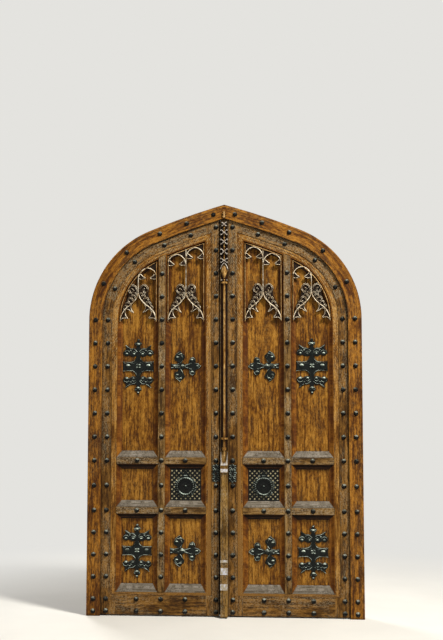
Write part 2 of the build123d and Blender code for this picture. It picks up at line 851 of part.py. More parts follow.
def lock_case():
    low = left_meeting_edge + 2
    case = Pos(low + lock_width / 2, leaf_thickness + lock_depth / 2, lock_height)
    body = case * Box(lock_width, lock_depth, lock_case_height)
    return body - lock_slot(slide_clearance, low - 1, low + lock_bolt_length + 2)


def lock_bolt():
    low = left_meeting_edge + 3
    return lock_slot(0, low, low + lock_bolt_length)


def lock_keeper():
    low = right_meeting_edge + 1
    case = Pos(low + keeper_width / 2, leaf_thickness + lock_depth / 2, lock_height)
    body = case * Box(keeper_width, lock_depth, lock_bolt_width + 4 * lock_wall)
    depth = lock_travel + lock_wall - meeting_gap
    return body - lock_slot(slide_clearance * 4, low - 1, low + depth)


def shoot_bolt(tip, direction):
    y = leaf_thickness + guide_size / 2
    far = tip - direction * shoot_bolt_length
    rod = square_bar(shoot_bolt_place, y, min(tip, far), max(tip, far), shoot_bolt_size)
    knob = Pos(shoot_bolt_place, y + shoot_bolt_knob / 2, (tip + far) / 2)
    return rod + knob * Box(shoot_bolt_size, shoot_bolt_knob, shoot_bolt_size)


def bolt_guide(z):
    y = leaf_thickness + guide_size / 2
    block = Pos(shoot_bolt_place, y, z) * Box(guide_size * 1.6, guide_size, guide_size * 0.6)
    size = shoot_bolt_size + 2 * slide_clearance
    return block - square_bar(shoot_bolt_place, y, z - guide_size, z + guide_size, size)


def bolt_guides():
    guides = []
    for tip, direction in ((top_bolt_tip, 1), (foot_bolt_tip, -1)):
        guides.append(bolt_guide(tip - direction * guide_inset))
        guides.append(bolt_guide(tip - direction * (shoot_bolt_length - guide_inset)))
    return guides


def bolt_keeper():
    y = leaf_thickness + guide_size / 2
    z = top_bolt_tip + keeper_gap + guide_size / 2
    block = Pos(shoot_bolt_place, (frame_back + y + guide_size / 2) / 2, z)
    body = block * Box(guide_size * 1.6, y + guide_size / 2 - frame_back, guide_size)
    size = shoot_bolt_size + 4 * slide_clearance
    return body - square_bar(shoot_bolt_place, y, z - guide_size, z + guide_size, size)


# Writing the parts
def save(name, shapes):
    solids = []
    for shape in shapes if isinstance(shapes, list) else [shapes]:
        solids += shape.solids()
    whole = Compound(children=[solid.moved(base_shift) for solid in solids])
    whole.label = name
    export_step(whole, "parts/" + name + ".step")


def flip(shapes):
    group = shapes if isinstance(shapes, list) else [shapes]
    return [shape.mirror(Plane.YZ) for shape in group]


def shared_nodes():
    return {
        "outer_stile": outer_stile(),
        "arched_stile": arched_stile(),
        "muntin": muntin(),
        "bottom_rail": foot_rail(),
        "cross_rails": cross_rails(),
        "border": border(),
        "upper_panels": panels("upper"),
        "middle_panels": panels("middle"),
        "lower_panels": panels("lower"),
        "mouldings": mouldings(),
        "tracery_outer": tracery("outer"),
        "tracery_inner": tracery("inner"),
        "cross_ornaments": cross_ornaments(),
        "strap_ends": strap_ends(),
        "ring_plate": ring_plate(),
        "ring_hanger": ring_hanger(),
        "pull_ring": pull_ring(),
        "escutcheon": escutcheon(),
        "studs": leaf_studs(),
        "hinge_bands": hinge_bands(),
    }


os.makedirs("parts", exist_ok=True)
for name, shapes in shared_nodes().items():
    save("right_" + name, shapes)
    save("left_" + name, flip(shapes))
save("right_meeting_stile", meeting_stile(right_meeting_edge, right_tongue_width, right_tongue_setback))
save("left_meeting_stile", flip(meeting_stile(left_meeting_edge, left_tongue_width, left_tongue_setback)))

studs_on_frame = frame_studs()
save("frame_studs", studs_on_frame + flip(studs_on_frame))
for name, shapes in (("frame_jamb", frame_jamb()), ("frame_head", frame_head()), ("hinge_hooks", hinge_hooks())):
    save(name + "_right", shapes)
    save(name + "_left", flip(shapes))
save("head_finial", head_finial())
save("bolt_keeper", bolt_keeper())
save("right_cover_bar", cover_bar())
save("right_cover_shaft", cover_shaft())
save("right_pinnacle", pinnacle())
save("right_lock_keeper", lock_keeper())
save("right_bolt_guides", bolt_guides())
save("top_bolt", shoot_bolt(top_bolt_tip, 1))
save("foot_bolt", shoot_bolt(foot_bolt_tip, -1))
save("left_lock_case", flip(lock_case()))
save("left_lock_bolt", flip(lock_bolt()))
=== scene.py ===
import bmesh
import bpy
import json
import math
import random
from mathutils import Matrix, Vector

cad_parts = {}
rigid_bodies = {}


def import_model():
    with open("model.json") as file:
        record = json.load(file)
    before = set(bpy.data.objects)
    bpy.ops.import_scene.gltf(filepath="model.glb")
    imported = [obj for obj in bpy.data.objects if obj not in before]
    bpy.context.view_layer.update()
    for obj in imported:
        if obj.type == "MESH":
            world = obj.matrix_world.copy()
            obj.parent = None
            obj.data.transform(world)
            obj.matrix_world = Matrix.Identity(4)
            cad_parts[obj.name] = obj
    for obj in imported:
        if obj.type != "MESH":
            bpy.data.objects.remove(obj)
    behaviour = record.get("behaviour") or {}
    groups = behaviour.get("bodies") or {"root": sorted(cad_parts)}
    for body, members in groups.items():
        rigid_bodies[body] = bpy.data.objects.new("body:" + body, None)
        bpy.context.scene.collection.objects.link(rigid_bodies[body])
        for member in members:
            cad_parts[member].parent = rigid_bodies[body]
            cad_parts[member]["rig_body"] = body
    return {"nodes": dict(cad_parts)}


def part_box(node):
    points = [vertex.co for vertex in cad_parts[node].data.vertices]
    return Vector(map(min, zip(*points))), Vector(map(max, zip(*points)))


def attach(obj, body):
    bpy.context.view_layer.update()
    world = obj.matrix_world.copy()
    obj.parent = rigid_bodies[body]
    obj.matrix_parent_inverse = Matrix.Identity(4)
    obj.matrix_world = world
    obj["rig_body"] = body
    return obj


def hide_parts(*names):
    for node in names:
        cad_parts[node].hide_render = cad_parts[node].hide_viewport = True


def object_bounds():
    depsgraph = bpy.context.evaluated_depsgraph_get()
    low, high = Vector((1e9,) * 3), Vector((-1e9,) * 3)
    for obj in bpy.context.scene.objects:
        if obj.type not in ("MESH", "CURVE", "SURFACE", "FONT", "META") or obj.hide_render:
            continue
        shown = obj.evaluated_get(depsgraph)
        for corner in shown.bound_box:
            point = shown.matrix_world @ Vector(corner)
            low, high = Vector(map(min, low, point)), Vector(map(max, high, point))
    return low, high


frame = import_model()
cadLow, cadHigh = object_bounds()
cadNodes = frame["nodes"]
mm = 0.001
print("frame:", len(cadNodes), "nodes")


# Places read from the frame
def low(node):
    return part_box(node)[0]


def high(node):
    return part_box(node)[1]


tongue = 10 * mm       # how far a panel reaches into its groove
arch = {
    "halfWidth": low("frame_jamb_right").x,
    "spring": high("frame_jamb_right").z,
    "haunchRadius": 737 * mm,
    "haunchAngle": math.radians(67.7),
    "crownRadius": 6200 * mm,
    "openingInset": 132.4 * mm,      # from the door's edge line to the panel openings
    "stileInset": 84 * mm,           # from the door's edge line to the border
    "haunchSteps": 22,
    "crownSteps": 40,
    "mitreRoom": 60 * mm,            # from a sharp corner to the next point of the line
    "edgeRoom": 2 * mm,              # the same where the arch runs into the upright
    "hair": 0.01 * mm,
}
radiusStep = arch["haunchRadius"] - arch["crownRadius"]
arch["haunchX"] = arch["halfWidth"] - arch["haunchRadius"]
arch["crownX"] = arch["haunchX"] + radiusStep * math.cos(arch["haunchAngle"])
arch["crownZ"] = arch["spring"] + radiusStep * math.sin(arch["haunchAngle"])

panelFace = low("right_upper_panels").y
columns = {
    "inner": (high("right_meeting_stile").x, low("right_muntin").x),
    "outer": (high("right_muntin").x, low("right_outer_stile").x),
}
tiers = {      # foot and head of the openings, and the height of the sill
    "upper": (low("right_upper_panels").z + tongue, None, 56 * mm),
    "middle": (low("right_middle_panels").z + tongue, high("right_middle_panels").z - tongue, 56 * mm),
    "lower": (low("right_lower_panels").z + tongue, high("right_lower_panels").z - tongue, 69 * mm),
}


# Node helpers
def paint(red, green, blue):
    linear = [((c / 255 + 0.055) / 1.055) ** 2.4 for c in (red, green, blue)]
    return (linear[0], linear[1], linear[2], 1.0)


def addNode(tree, kind, inputs=None, **settings):
    node = tree.nodes.new(kind)
    for key, value in settings.items():
        setattr(node, key, value)
    for key, value in (inputs or {}).items():
        if isinstance(value, bpy.types.NodeSocket):
            tree.links.new(value, node.inputs[key])
        else:
            node.inputs[key].default_value = value
    return node


def calc(tree, operation, first, second=0.0):
    return addNode(tree, "ShaderNodeMath", {0: first, 1: second}, operation=operation).outputs[0]


def times(tree, first, second):
    return calc(tree, "MULTIPLY", first, second)


def plus(tree, total, *others):
    for other in others:
        total = calc(tree, "ADD", total, other)
    return total


def between(tree, value, start, end, top=1.0):
    values = {0: value, 1: start, 2: end, 3: 0.0, 4: top}
    return addNode(tree, "ShaderNodeMapRange", values, interpolation_type="SMOOTHSTEP").outputs[0]


def mixColour(tree, factor, first, second):
    values = {0: factor, 6: first, 7: second}
    return addNode(tree, "ShaderNodeMix", values, data_type="RGBA").outputs[2]


def noise(tree, vector, scale, detail=4.0, rough=0.55, bend=0.0):
    values = {"Vector": vector, "Scale": scale, "Detail": detail, "Roughness": rough, "Distortion": bend}
    return addNode(tree, "ShaderNodeTexNoise", values).outputs["Fac"]


def stretched(tree, vector, scale, shift=(0.0, 0.0, 0.0)):
    values = {"Vector": vector, "Scale": scale, "Location": shift}
    return addNode(tree, "ShaderNodeMapping", values).outputs[0]


def newMaterial(name):
    material = bpy.data.materials.new(name)
    material.use_nodes = True
    tree = material.node_tree
    return material, tree, tree.nodes["Principled BSDF"]


def objectVector(tree):
    return addNode(tree, "ShaderNodeTexCoord").outputs["Object"]


def objectNormal(tree):
    return addNode(tree, "ShaderNodeTexCoord").outputs["Normal"]


def parts(tree, vector):
    return addNode(tree, "ShaderNodeSeparateXYZ", {0: vector}).outputs


def joined(tree, x, y, z):
    return addNode(tree, "ShaderNodeCombineXYZ", {0: x, 1: y, 2: z}).outputs[0]


def distance(tree, across, up):
    return calc(tree, "SQRT", plus(tree, times(tree, across, across), times(tree, up, up)))


# Ambient occlusion, used to paint shade into corners and recesses.
def openCorner(tree, reach):
    return addNode(tree, "ShaderNodeAmbientOcclusion", {"Distance": reach}, samples=4).outputs["AO"]


def setSurface(tree, shader, colour, roughness, height, look):
    strength, depth = look["relief"]
    bump = addNode(tree, "ShaderNodeBump", {"Strength": strength, "Distance": depth, "Height": height})
    for key, value in (("Base Color", colour), ("Roughness", roughness), ("Normal", bump.outputs[0])):
        tree.links.new(value, shader.inputs[key])
    for key, value in look["fixed"].items():
        shader.inputs[key].default_value = value


# Grain directions: each gives a vector whose Z runs along the fibres
def uprightGrain(tree):
    return objectVector(tree)


def levelGrain(tree):
    x, y, z = parts(tree, objectVector(tree))
    return joined(tree, z, y, x)


def sweptGrain(tree):
    return addNode(tree, "ShaderNodeAttribute", attribute_name="grain").outputs["Vector"]


def archedGrain(tree):
    x, y, z = parts(tree, objectVector(tree))
    side = calc(tree, "ABSOLUTE", x)
    runs = []
    for centreX, centreZ, radius in (
        (arch["haunchX"], arch["spring"], arch["haunchRadius"]),
        (arch["crownX"], arch["crownZ"], arch["crownRadius"]),
    ):
        out = calc(tree, "SUBTRACT", side, centreX)
        up = calc(tree, "SUBTRACT", z, centreZ)
        turn = calc(tree, "ARCTAN2", up, out)
        along = times(tree, calc(tree, "SUBTRACT", turn, arch["haunchAngle"]), radius)
        runs.append((calc(tree, "SUBTRACT", distance(tree, out, up), radius), along, turn))
    onHaunch = calc(tree, "LESS_THAN", runs[0][2], arch["haunchAngle"])
    picked = []
    for index in (0, 1):
        step = calc(tree, "SUBTRACT", runs[0][index], runs[1][index])
        picked.append(plus(tree, runs[1][index], times(tree, step, onHaunch)))
    return joined(tree, picked[0], y, picked[1])


# Oak
oakLook = {
    "layers": {
        "fibres": {"spread": (260, 260, 11), "detail": 3.0, "rough": 0.6},
        "streaks": {"spread": (62, 62, 3.2), "detail": 5.0, "rough": 0.65, "bend": 0.35},
        "stains": {"spread": (13, 13, 3.6), "detail": 5.0, "rough": 0.62, "bend": 0.7},
        "speckle": {"spread": (70, 70, 22), "detail": 4.0, "rough": 0.7},
        "clouds": {
            "spread": (5.5, 5.5, 2.6), "shift": (3.1, 1.7, 0.4), "detail": 5.0, "rough": 0.62, "bend": 0.5,
        },
        "stipple": {"spread": (150, 150, 60), "detail": 3.0, "rough": 0.6},
        "checks": {"spread": (120, 120, 1.7), "detail": 2.0, "rough": 0.5, "bend": 0.3},
    },
    "shares": {"fibres": 0.12, "streaks": 0.36, "stains": 0.22, "speckle": 0.3},
    "mid": (0.44, 0.52),             # where the tone turns from dark to mid, and then to light
    "light": (0.49, 0.58),
    "clouded": (0.5, 0.68, 0.45),
    "bare": (0.6, 0.42),             # where the clouds and the stipple leave worn wood
    "worn": (0.45, 0.6),
    "pitted": (0.46, 0.36, 0.6),
    "cracked": (0.67, 0.72),
    "cracks": 0.5,
    "underShadeSlope": (-0.1, -0.4),        # slope of a face that looks down and gets painted shade
    "upward": (0.05, 0.13),          # slope of a ledge that turns pale: weathering and painted highlight
    "paleTopPatches": (0.4, 0.62),
    "ledgeFade": 0.02,
    # reach, range and strength of the painted shade in corners
    "cornerReach": 0.03,
    "cornerShadeRange": (0.86, 0.4),
    "cornerShade": 0.95,
    "rough": 0.42,
    "streakRough": 0.3,
    "streakHeight": 0.7,
    "relief": (0.5, 0.0015),
    "fixed": {"Specular IOR Level": 0.12},
}


def oakMaterial(name, finish, grain):
    material, tree, shader = newMaterial(name)
    finish = {key: paint(*value) if isinstance(value, tuple) else value for key, value in finish.items()}
    vector = grain(tree)
    layers = {}
    for key, layer in oakLook["layers"].items():
        spread = stretched(tree, vector, layer["spread"], layer.get("shift", (0.0, 0.0, 0.0)))
        layers[key] = noise(tree, spread, 1.0, layer["detail"], layer["rough"], layer.get("bend", 0.0))
    streaks, clouds, stipple = layers["streaks"], layers["clouds"], layers["stipple"]
    tone = plus(tree, *[times(tree, layers[key], share) for key, share in oakLook["shares"].items()])
    colour = mixColour(tree, between(tree, tone, *oakLook["mid"]), finish["dark"], finish["mid"])
    colour = mixColour(tree, between(tree, tone, *oakLook["light"]), colour, finish["light"])
    colour = mixColour(tree, between(tree, clouds, *oakLook["clouded"]), colour, finish["dark"])
    worn = times(tree, between(tree, clouds, *oakLook["bare"]), between(tree, stipple, *oakLook["worn"]))
    colour = mixColour(tree, times(tree, worn, finish["weather"]), colour, finish["grey"])
    colour = mixColour(tree, between(tree, stipple, *oakLook["pitted"]), colour, finish["dark"])
    cracks = finish.get("cracks", oakLook["cracks"])
    crack = between(tree, layers["checks"], *oakLook["cracked"], cracks)
    colour = mixColour(tree, crack, colour, finish["deep"])
    if "nicks" in finish:
        colour = nickedColour(tree, colour, finish)
    nz = parts(tree, objectNormal(tree))["Z"]
    # Faces that look down turn to the deep colour: painted shade.
    if "underShade" in finish:
        underShade = between(tree, nz, *oakLook["underShadeSlope"], finish["underShade"])
        colour = mixColour(tree, underShade, colour, finish["deep"])
    # Upward ledges below the ledge line turn pale: weathering and painted highlight.
    if "ledge" in finish:
        z = parts(tree, objectVector(tree))["Z"]
        paleTopPatches = between(tree, layers["speckle"], *oakLook["paleTopPatches"])
        pale = mixColour(tree, paleTopPatches, finish["grey"], finish["ledge"])
        below = between(tree, z, finish["ledgesTo"] + oakLook["ledgeFade"], finish["ledgesTo"])
        colour = mixColour(tree, times(tree, between(tree, nz, *oakLook["upward"]), below), colour, pale)
    # Corners and recesses darken by ambient occlusion: painted shade.
    corner = openCorner(tree, oakLook["cornerReach"])
    cornerShade = between(tree, corner, *oakLook["cornerShadeRange"], finish.get("cornerShade", oakLook["cornerShade"]))
    colour = mixColour(tree, cornerShade, colour, finish["deep"])
    rough = finish.get("rough", oakLook["rough"])
    sheen = plus(tree, times(tree, streaks, oakLook["streakRough"]), rough)
    raised = plus(tree, layers["fibres"], times(tree, streaks, oakLook["streakHeight"]))
    setSurface(tree, shader, colour, sheen, calc(tree, "SUBTRACT", raised, crack), oakLook)
    return material


nickLook = {
    "slope": 0.62,
    "rate": 330.0,
    "rippled": (0.25, 0.9),
    "brokenScale": 46.0,
    "broken": (0.46, 0.6),
    "fade": 0.5,
}


def nickedColour(tree, colour, finish):
    x, y, z = parts(tree, objectVector(tree))
    slant = plus(tree, calc(tree, "ABSOLUTE", x), times(tree, z, nickLook["slope"]))
    ripple = calc(tree, "SINE", times(tree, slant, nickLook["rate"]))
    broken = noise(tree, objectVector(tree), nickLook["brokenScale"], 3.0)
    rippled = between(tree, ripple, *nickLook["rippled"])
    mark = times(tree, rippled, between(tree, broken, *nickLook["broken"]))
    reach = between(tree, z, finish["nicksFrom"], finish["nicksFrom"] + nickLook["fade"])
    return mixColour(tree, times(tree, times(tree, mark, reach), finish["nicks"]), colour, finish["grey"])


oakFinishes = {
    "frame": {
        "dark": (62, 32, 8), "mid": (116, 72, 18), "light": (160, 108, 34),
        "grey": (124, 100, 62), "deep": (12, 6, 3), "weather": 0.3,
    },
    "stile": {
        "dark": (52, 32, 10), "mid": (102, 68, 22), "light": (142, 102, 46),
        "grey": (138, 124, 98), "deep": (14, 8, 4), "weather": 0.5,
    },
    "muntin": {
        "dark": (56, 38, 16), "mid": (106, 76, 34), "light": (142, 110, 62),
        "grey": (146, 132, 108), "deep": (14, 8, 4), "weather": 0.65,
    },
    "panel": {
        "dark": (62, 33, 7), "mid": (122, 77, 16), "light": (162, 115, 42),
        "grey": (126, 98, 52), "deep": (22, 11, 4), "weather": 0.35, "cracks": 0.4,
    },
    "border": {
        "dark": (72, 42, 10), "mid": (130, 86, 26), "light": (172, 128, 60),
        "grey": (158, 136, 98), "deep": (16, 8, 4), "weather": 0.5, "cracks": 0.7,
        "nicks": 0.9, "nicksFrom": 1.9,
    },
    "moulding": {
        "dark": (68, 34, 7), "mid": (104, 60, 12), "light": (140, 90, 26),
        "grey": (112, 84, 46), "deep": (9, 4, 2), "weather": 0.2, "underShade": 0.9,
    },
    # head: a darker copy of the moulding for the heads below the rails: painted shade
    "head": {
        "dark": (30, 13, 4), "mid": (52, 26, 8), "light": (84, 50, 18),
        "grey": (66, 44, 22), "deep": (8, 3, 1), "weather": 0.2, "underShade": 0.9,
    },
    "sill": {
        "dark": (76, 68, 56), "mid": (104, 96, 84), "light": (134, 126, 114),
        "grey": (144, 138, 132), "deep": (30, 20, 12), "weather": 0.6, "cornerShade": 0.6, "rough": 0.6,
    },
    "bar": {
        "dark": (64, 44, 14), "mid": (116, 84, 34), "light": (154, 120, 62),
        "grey": (148, 136, 112), "deep": (12, 7, 4), "weather": 0.6,
        "ledge": (186, 188, 200), "ledgesTo": 1.31,
    },
    "shaft": {
        "dark": (96, 62, 24), "mid": (150, 110, 52), "light": (196, 158, 96),
        "grey": (190, 166, 120), "deep": (30, 16, 6), "weather": 0.4, "cornerShade": 0.5,
    },
    # hollow: a dark copy for the floors and sides of the bar's hollows: painted shade
    "hollow": {
        "dark": (20, 8, 2), "mid": (42, 18, 5), "light": (64, 32, 9),
        "grey": (50, 28, 12), "deep": (6, 3, 1), "weather": 0.2,
    },
}
oakFinishes["archedStile"] = {**oakFinishes["stile"], "weather": 0.7}
oakFinishes["meeting"] = {**oakFinishes["stile"], "nicks": 0.7, "nicksFrom": 2.3}
grains = {
    "Upright": (uprightGrain, ("frame", "stile", "muntin", "panel", "bar", "shaft", "hollow", "meeting")),
    "Level": (levelGrain, ("stile", "muntin")),
    "Arched": (archedGrain, ("frame", "archedStile")),
    "Swept": (sweptGrain, ("moulding", "head", "sill", "border")),
}
oak = {}
for way, (grain, names) in grains.items():
    for name in names:
        oak[name + way] = oakMaterial(name + "Oak" + way, oakFinishes[name], grain)


# Carved oak, with a painted highlight on its crests and upper sides and painted shade in its recesses
carvedLook = {
    "spread": (90, 90, 30),
    "crest": (0.93, 0.99),
    "upper": (0.1, 0.45, 0.95),
    "sideShare": 0.2,
    "pale": (0.36, 0.6),
    "cornerReach": 0.014,
    "open": (0.3, 0.8),
    "openShare": 0.75,
    "leastShare": 0.25,
    "fineRough": 0.3,
    "rough": 0.5,
    "relief": (0.4, 0.001),
    "fixed": {"Specular IOR Level": 0.12},
}
carvedTones = {      # dark and light ground, then dark and light crests that carry the painted highlight
    "carvedOak": [(16, 9, 4), (58, 36, 14), (148, 122, 86), (232, 220, 196)],
    # next: a near-black oak for the sheets of painted shadow behind the carving
    "carvedShadow": [(7, 4, 2), (24, 14, 7), (12, 7, 4), (34, 21, 11)],
    "carvedEdge": [(50, 28, 8), (96, 58, 18), (120, 84, 40), (184, 150, 100)],
    "carvedPale": [(18, 11, 7), (64, 46, 34), (126, 114, 102), (192, 184, 174)],
}


def carvedMaterial(name, tones):
    material, tree, shader = newMaterial(name)
    groundDark, groundLight, paleDark, paleLight = [paint(*tone) for tone in tones]
    nx, ny, nz = parts(tree, objectNormal(tree))
    # Front crests and upper sides turn pale, and recesses stay dark by ambient occlusion: painted highlight
    # and painted shade.
    crest = between(tree, times(tree, ny, -1.0), *carvedLook["crest"])
    lean = plus(tree, nz, times(tree, calc(tree, "ABSOLUTE", nx), carvedLook["sideShare"]))
    upper = between(tree, lean, *carvedLook["upper"])
    fine = noise(tree, stretched(tree, objectVector(tree), carvedLook["spread"]), 1.0, 4.0, 0.6)
    ground = mixColour(tree, fine, groundDark, groundLight)
    pale = mixColour(tree, between(tree, fine, *carvedLook["pale"]), paleDark, paleLight)
    openness = between(tree, openCorner(tree, carvedLook["cornerReach"]), *carvedLook["open"])
    lit = plus(tree, times(tree, openness, carvedLook["openShare"]), carvedLook["leastShare"])
    colour = mixColour(tree, times(tree, calc(tree, "MAXIMUM", crest, upper), lit), ground, pale)
    roughness = plus(tree, times(tree, fine, carvedLook["fineRough"]), carvedLook["rough"])
    setSurface(tree, shader, colour, roughness, fine, carvedLook)
    return material


# Iron, pale on what looks up: dusting and a painted highlight
ironLook = {
    "hammered": (120.0, 3.0, 0.5),
    "blotches": (26.0, 4.0, 0.6),
    "rust": (60.0, 5.0, 0.65),
    "blotched": (0.54, 0.8),
    "blotchTone": (26, 34, 30),
    "rusted": (0.62, 0.74, 0.4),
    "rustTone": (52, 32, 18),
    "paleTopPatches": (0.36, 0.56),
    "dustAndHighlightRise": 0.4,
    "blotchRough": 0.3,
    "rough": 0.2,
    "relief": (0.5, 0.0012),
    "fixed": {"Metallic": 0.1, "Specular IOR Level": 0.22},
}
ironFinishes = {
    "wroughtIron": {"tint": (9, 14, 12), "dustAndHighlight": 0.8},
    # a paler copy for bosses, rims, beads and scrolls: painted highlight
    "highlightIron": {"tint": (20, 28, 24), "dustAndHighlight": 1.0, "dustAndHighlightFrom": 0.05, "dustAndHighlightTone": (176, 188, 176)},
    # studs: near black, with a painted highlight on their upper facets
    "studIron": {"tint": (4, 5, 5), "dustAndHighlight": 0.8, "dustAndHighlightFrom": 0.36, "dustAndHighlightTone": (146, 150, 138)},
    "ringIron": {"tint": (10, 14, 12), "dustAndHighlight": 0.95, "dustAndHighlightFrom": 0.3},
    "piercedIron": {"tint": (5, 7, 6), "dustAndHighlight": 0.0},
    "creamIron": {"tint": (96, 90, 66), "dustAndHighlight": 0.9, "dustAndHighlightFrom": -0.6, "dustAndHighlightTone": (172, 162, 128)},
}


def ironMaterial(name, tint, dustAndHighlight, dustAndHighlightFrom=0.5, dustAndHighlightTone=(176, 190, 180)):
    material, tree, shader = newMaterial(name)
    vector = objectVector(tree)
    nz = parts(tree, objectNormal(tree))["Z"]
    layers = ("hammered", "blotches", "rust")
    hammered, blotches, rust = [noise(tree, vector, *ironLook[layer]) for layer in layers]
    blotchTone, rustTone = paint(*ironLook["blotchTone"]), paint(*ironLook["rustTone"])
    colour = mixColour(tree, between(tree, blotches, *ironLook["blotched"]), paint(*tint), blotchTone)
    colour = mixColour(tree, between(tree, rust, *ironLook["rusted"]), colour, rustTone)
    # Upward faces turn pale: dusting and a painted highlight.
    upward = between(tree, nz, dustAndHighlightFrom, dustAndHighlightFrom + ironLook["dustAndHighlightRise"], dustAndHighlight)
    paleTopPatches = times(tree, upward, between(tree, blotches, *ironLook["paleTopPatches"]))
    colour = mixColour(tree, paleTopPatches, colour, paint(*dustAndHighlightTone))
    roughness = plus(tree, times(tree, blotches, ironLook["blotchRough"]), ironLook["rough"])
    setSurface(tree, shader, colour, roughness, plus(tree, hammered, blotches), ironLook)
    return material


steelLook = {
    "scratched": (60, 200, 400),
    "tones": [(70, 72, 72), (128, 130, 128)],
    "blotchScale": 30.0,
    "rusted": (0.55, 0.75, 0.7),
    "rustTone": (70, 48, 34),
    "scratchRough": 0.3,
    "rough": 0.25,
    "relief": (0.3, 0.0006),
    "fixed": {"Metallic": 0.8},
}


def steelMaterial():
    material, tree, shader = newMaterial("wornSteel")
    vector = objectVector(tree)
    scratches = noise(tree, stretched(tree, vector, steelLook["scratched"]), 1.0, 4.0, 0.6)
    blotches = noise(tree, vector, steelLook["blotchScale"])
    colour = mixColour(tree, scratches, *[paint(*tone) for tone in steelLook["tones"]])
    rusted = between(tree, blotches, *steelLook["rusted"])
    colour = mixColour(tree, rusted, colour, paint(*steelLook["rustTone"]))
    roughness = plus(tree, times(tree, scratches, steelLook["scratchRough"]), steelLook["rough"])
    setSurface(tree, shader, colour, roughness, scratches, steelLook)
    return material


carved = {name: carvedMaterial(name, tones) for name, tones in carvedTones.items()}
iron = {name: ironMaterial(name, **finish) for name, finish in ironFinishes.items()}
lockSteel = steelMaterial()
print("materials:", len(bpy.data.materials))


# Camera, light and floor
shot = {
    "place": (0.6083, -9.021, 1.8325),
    "rise": 4.708,
    "turn": 4.0246,
    "lens": 57.58,
    "sensor": 36.0,
}
studio = {
    "lamps": {
        "key": {"place": (4.8, -4.7, 9.2), "size": 1.6, "watts": 1540, "colour": (1.0, 0.96, 0.88)},
        "fill": {"place": (-6.0, -6.0, 2.6), "size": 4.0, "watts": 50, "colour": (1.0, 0.97, 0.93)},
        "back": {"place": (-4.5, 6.5, 6.0), "size": 3.0, "watts": 420, "colour": (1.0, 0.98, 0.95)},
    },
    "aim": (0.0, 0.0, 1.7),
    "backdrop": paint(228, 227, 223),
    "ambient": (0.2, 0.192, 0.176, 1.0),
}
floorLook = {
    "size": 30.0,
    "drop": 0.5 * mm,
    "tones": [(214, 213, 209), (230, 229, 225)],
    "cloudScale": 1.4,
    "rough": 0.85,
    "fade": (1.4, 5.0),       # from the lit floor to the backdrop
}


def setCamera():
    data = bpy.data.cameras.new("camera")
    data.lens = shot["lens"]
    data.sensor_width = shot["sensor"]
    camera = bpy.data.objects.new("camera", data)
    bpy.context.scene.collection.objects.link(camera)
    camera.location = shot["place"]
    camera.rotation_euler = (math.radians(90 + shot["rise"]), 0, math.radians(shot["turn"]))
    bpy.context.scene.camera = camera


def setLights():
    for name, values in studio["lamps"].items():
        data = bpy.data.lights.new(name, "AREA")
        data.shape = "DISK"
        data.size = values["size"]
        data.energy = values["watts"]
        data.color = values["colour"]
        lamp = bpy.data.objects.new(name, data)
        bpy.context.scene.collection.objects.link(lamp)
        lamp.location = values["place"]
        aim = Vector(studio["aim"]) - Vector(values["place"])
        lamp.rotation_euler = aim.to_track_quat("-Z", "Y").to_euler()


def seenBy(tree, *rays):
    path = addNode(tree, "ShaderNodeLightPath").outputs
    seen = path[rays[0]]
    for ray in rays[1:]:
        seen = calc(tree, "MAXIMUM", seen, path[ray])
    return seen


def setWorld():
    world = bpy.data.worlds.new("studio")
    bpy.context.scene.world = world
    world.use_nodes = True
    tree = world.node_tree
    tree.nodes.clear()
    seen = seenBy(tree, "Is Camera Ray", "Is Glossy Ray", "Is Transmission Ray")
    soft = addNode(tree, "ShaderNodeBackground", {"Color": studio["ambient"]}).outputs[0]
    shown = addNode(tree, "ShaderNodeBackground", {"Color": studio["backdrop"]}).outputs[0]
    mixed = addNode(tree, "ShaderNodeMixShader", {0: seen, 1: soft, 2: shown}).outputs[0]
    addNode(tree, "ShaderNodeOutputWorld", {"Surface": mixed})


def floorMaterial():
    material, tree, shader = newMaterial("paleFloor")
    place = objectVector(tree)
    soft = noise(tree, place, floorLook["cloudScale"], 3.0)
    colour = mixColour(tree, soft, *[paint(*tone) for tone in floorLook["tones"]])
    tree.links.new(colour, shader.inputs["Base Color"])
    shader.inputs["Roughness"].default_value = floorLook["rough"]
    x, y, z = parts(tree, place)
    seen = seenBy(tree, "Is Camera Ray", "Is Glossy Ray")
    far = times(tree, between(tree, distance(tree, x, y), *floorLook["fade"]), seen)
    shown = addNode(tree, "ShaderNodeEmission", {"Color": studio["backdrop"], "Strength": 1.0}).outputs[0]
    mixed = addNode(tree, "ShaderNodeMixShader", {0: far, 1: shader.outputs[0], 2: shown}).outputs[0]
    output = next(node for node in tree.nodes if node.type == "OUTPUT_MATERIAL")
    tree.links.new(mixed, output.inputs["Surface"])
    return material


def setFloor():
    bm = bmesh.new()
    bmesh.ops.create_grid(bm, x_segments=8, y_segments=8, size=floorLook["size"])
    bmesh.ops.translate(bm, verts=bm.verts, vec=(0, 0, cadLow.z - floorLook["drop"]))
    mesh = bpy.data.meshes.new("floor")
    bm.to_mesh(mesh)
    bm.free()
    mesh.materials.append(floorMaterial())
    floor = bpy.data.objects.new("floor", mesh)
    bpy.context.scene.collection.objects.link(floor)


bpy.context.scene.view_settings.view_transform = "Standard"
setCamera()
setLights()
setWorld()
setFloor()
print("camera, light and floor")


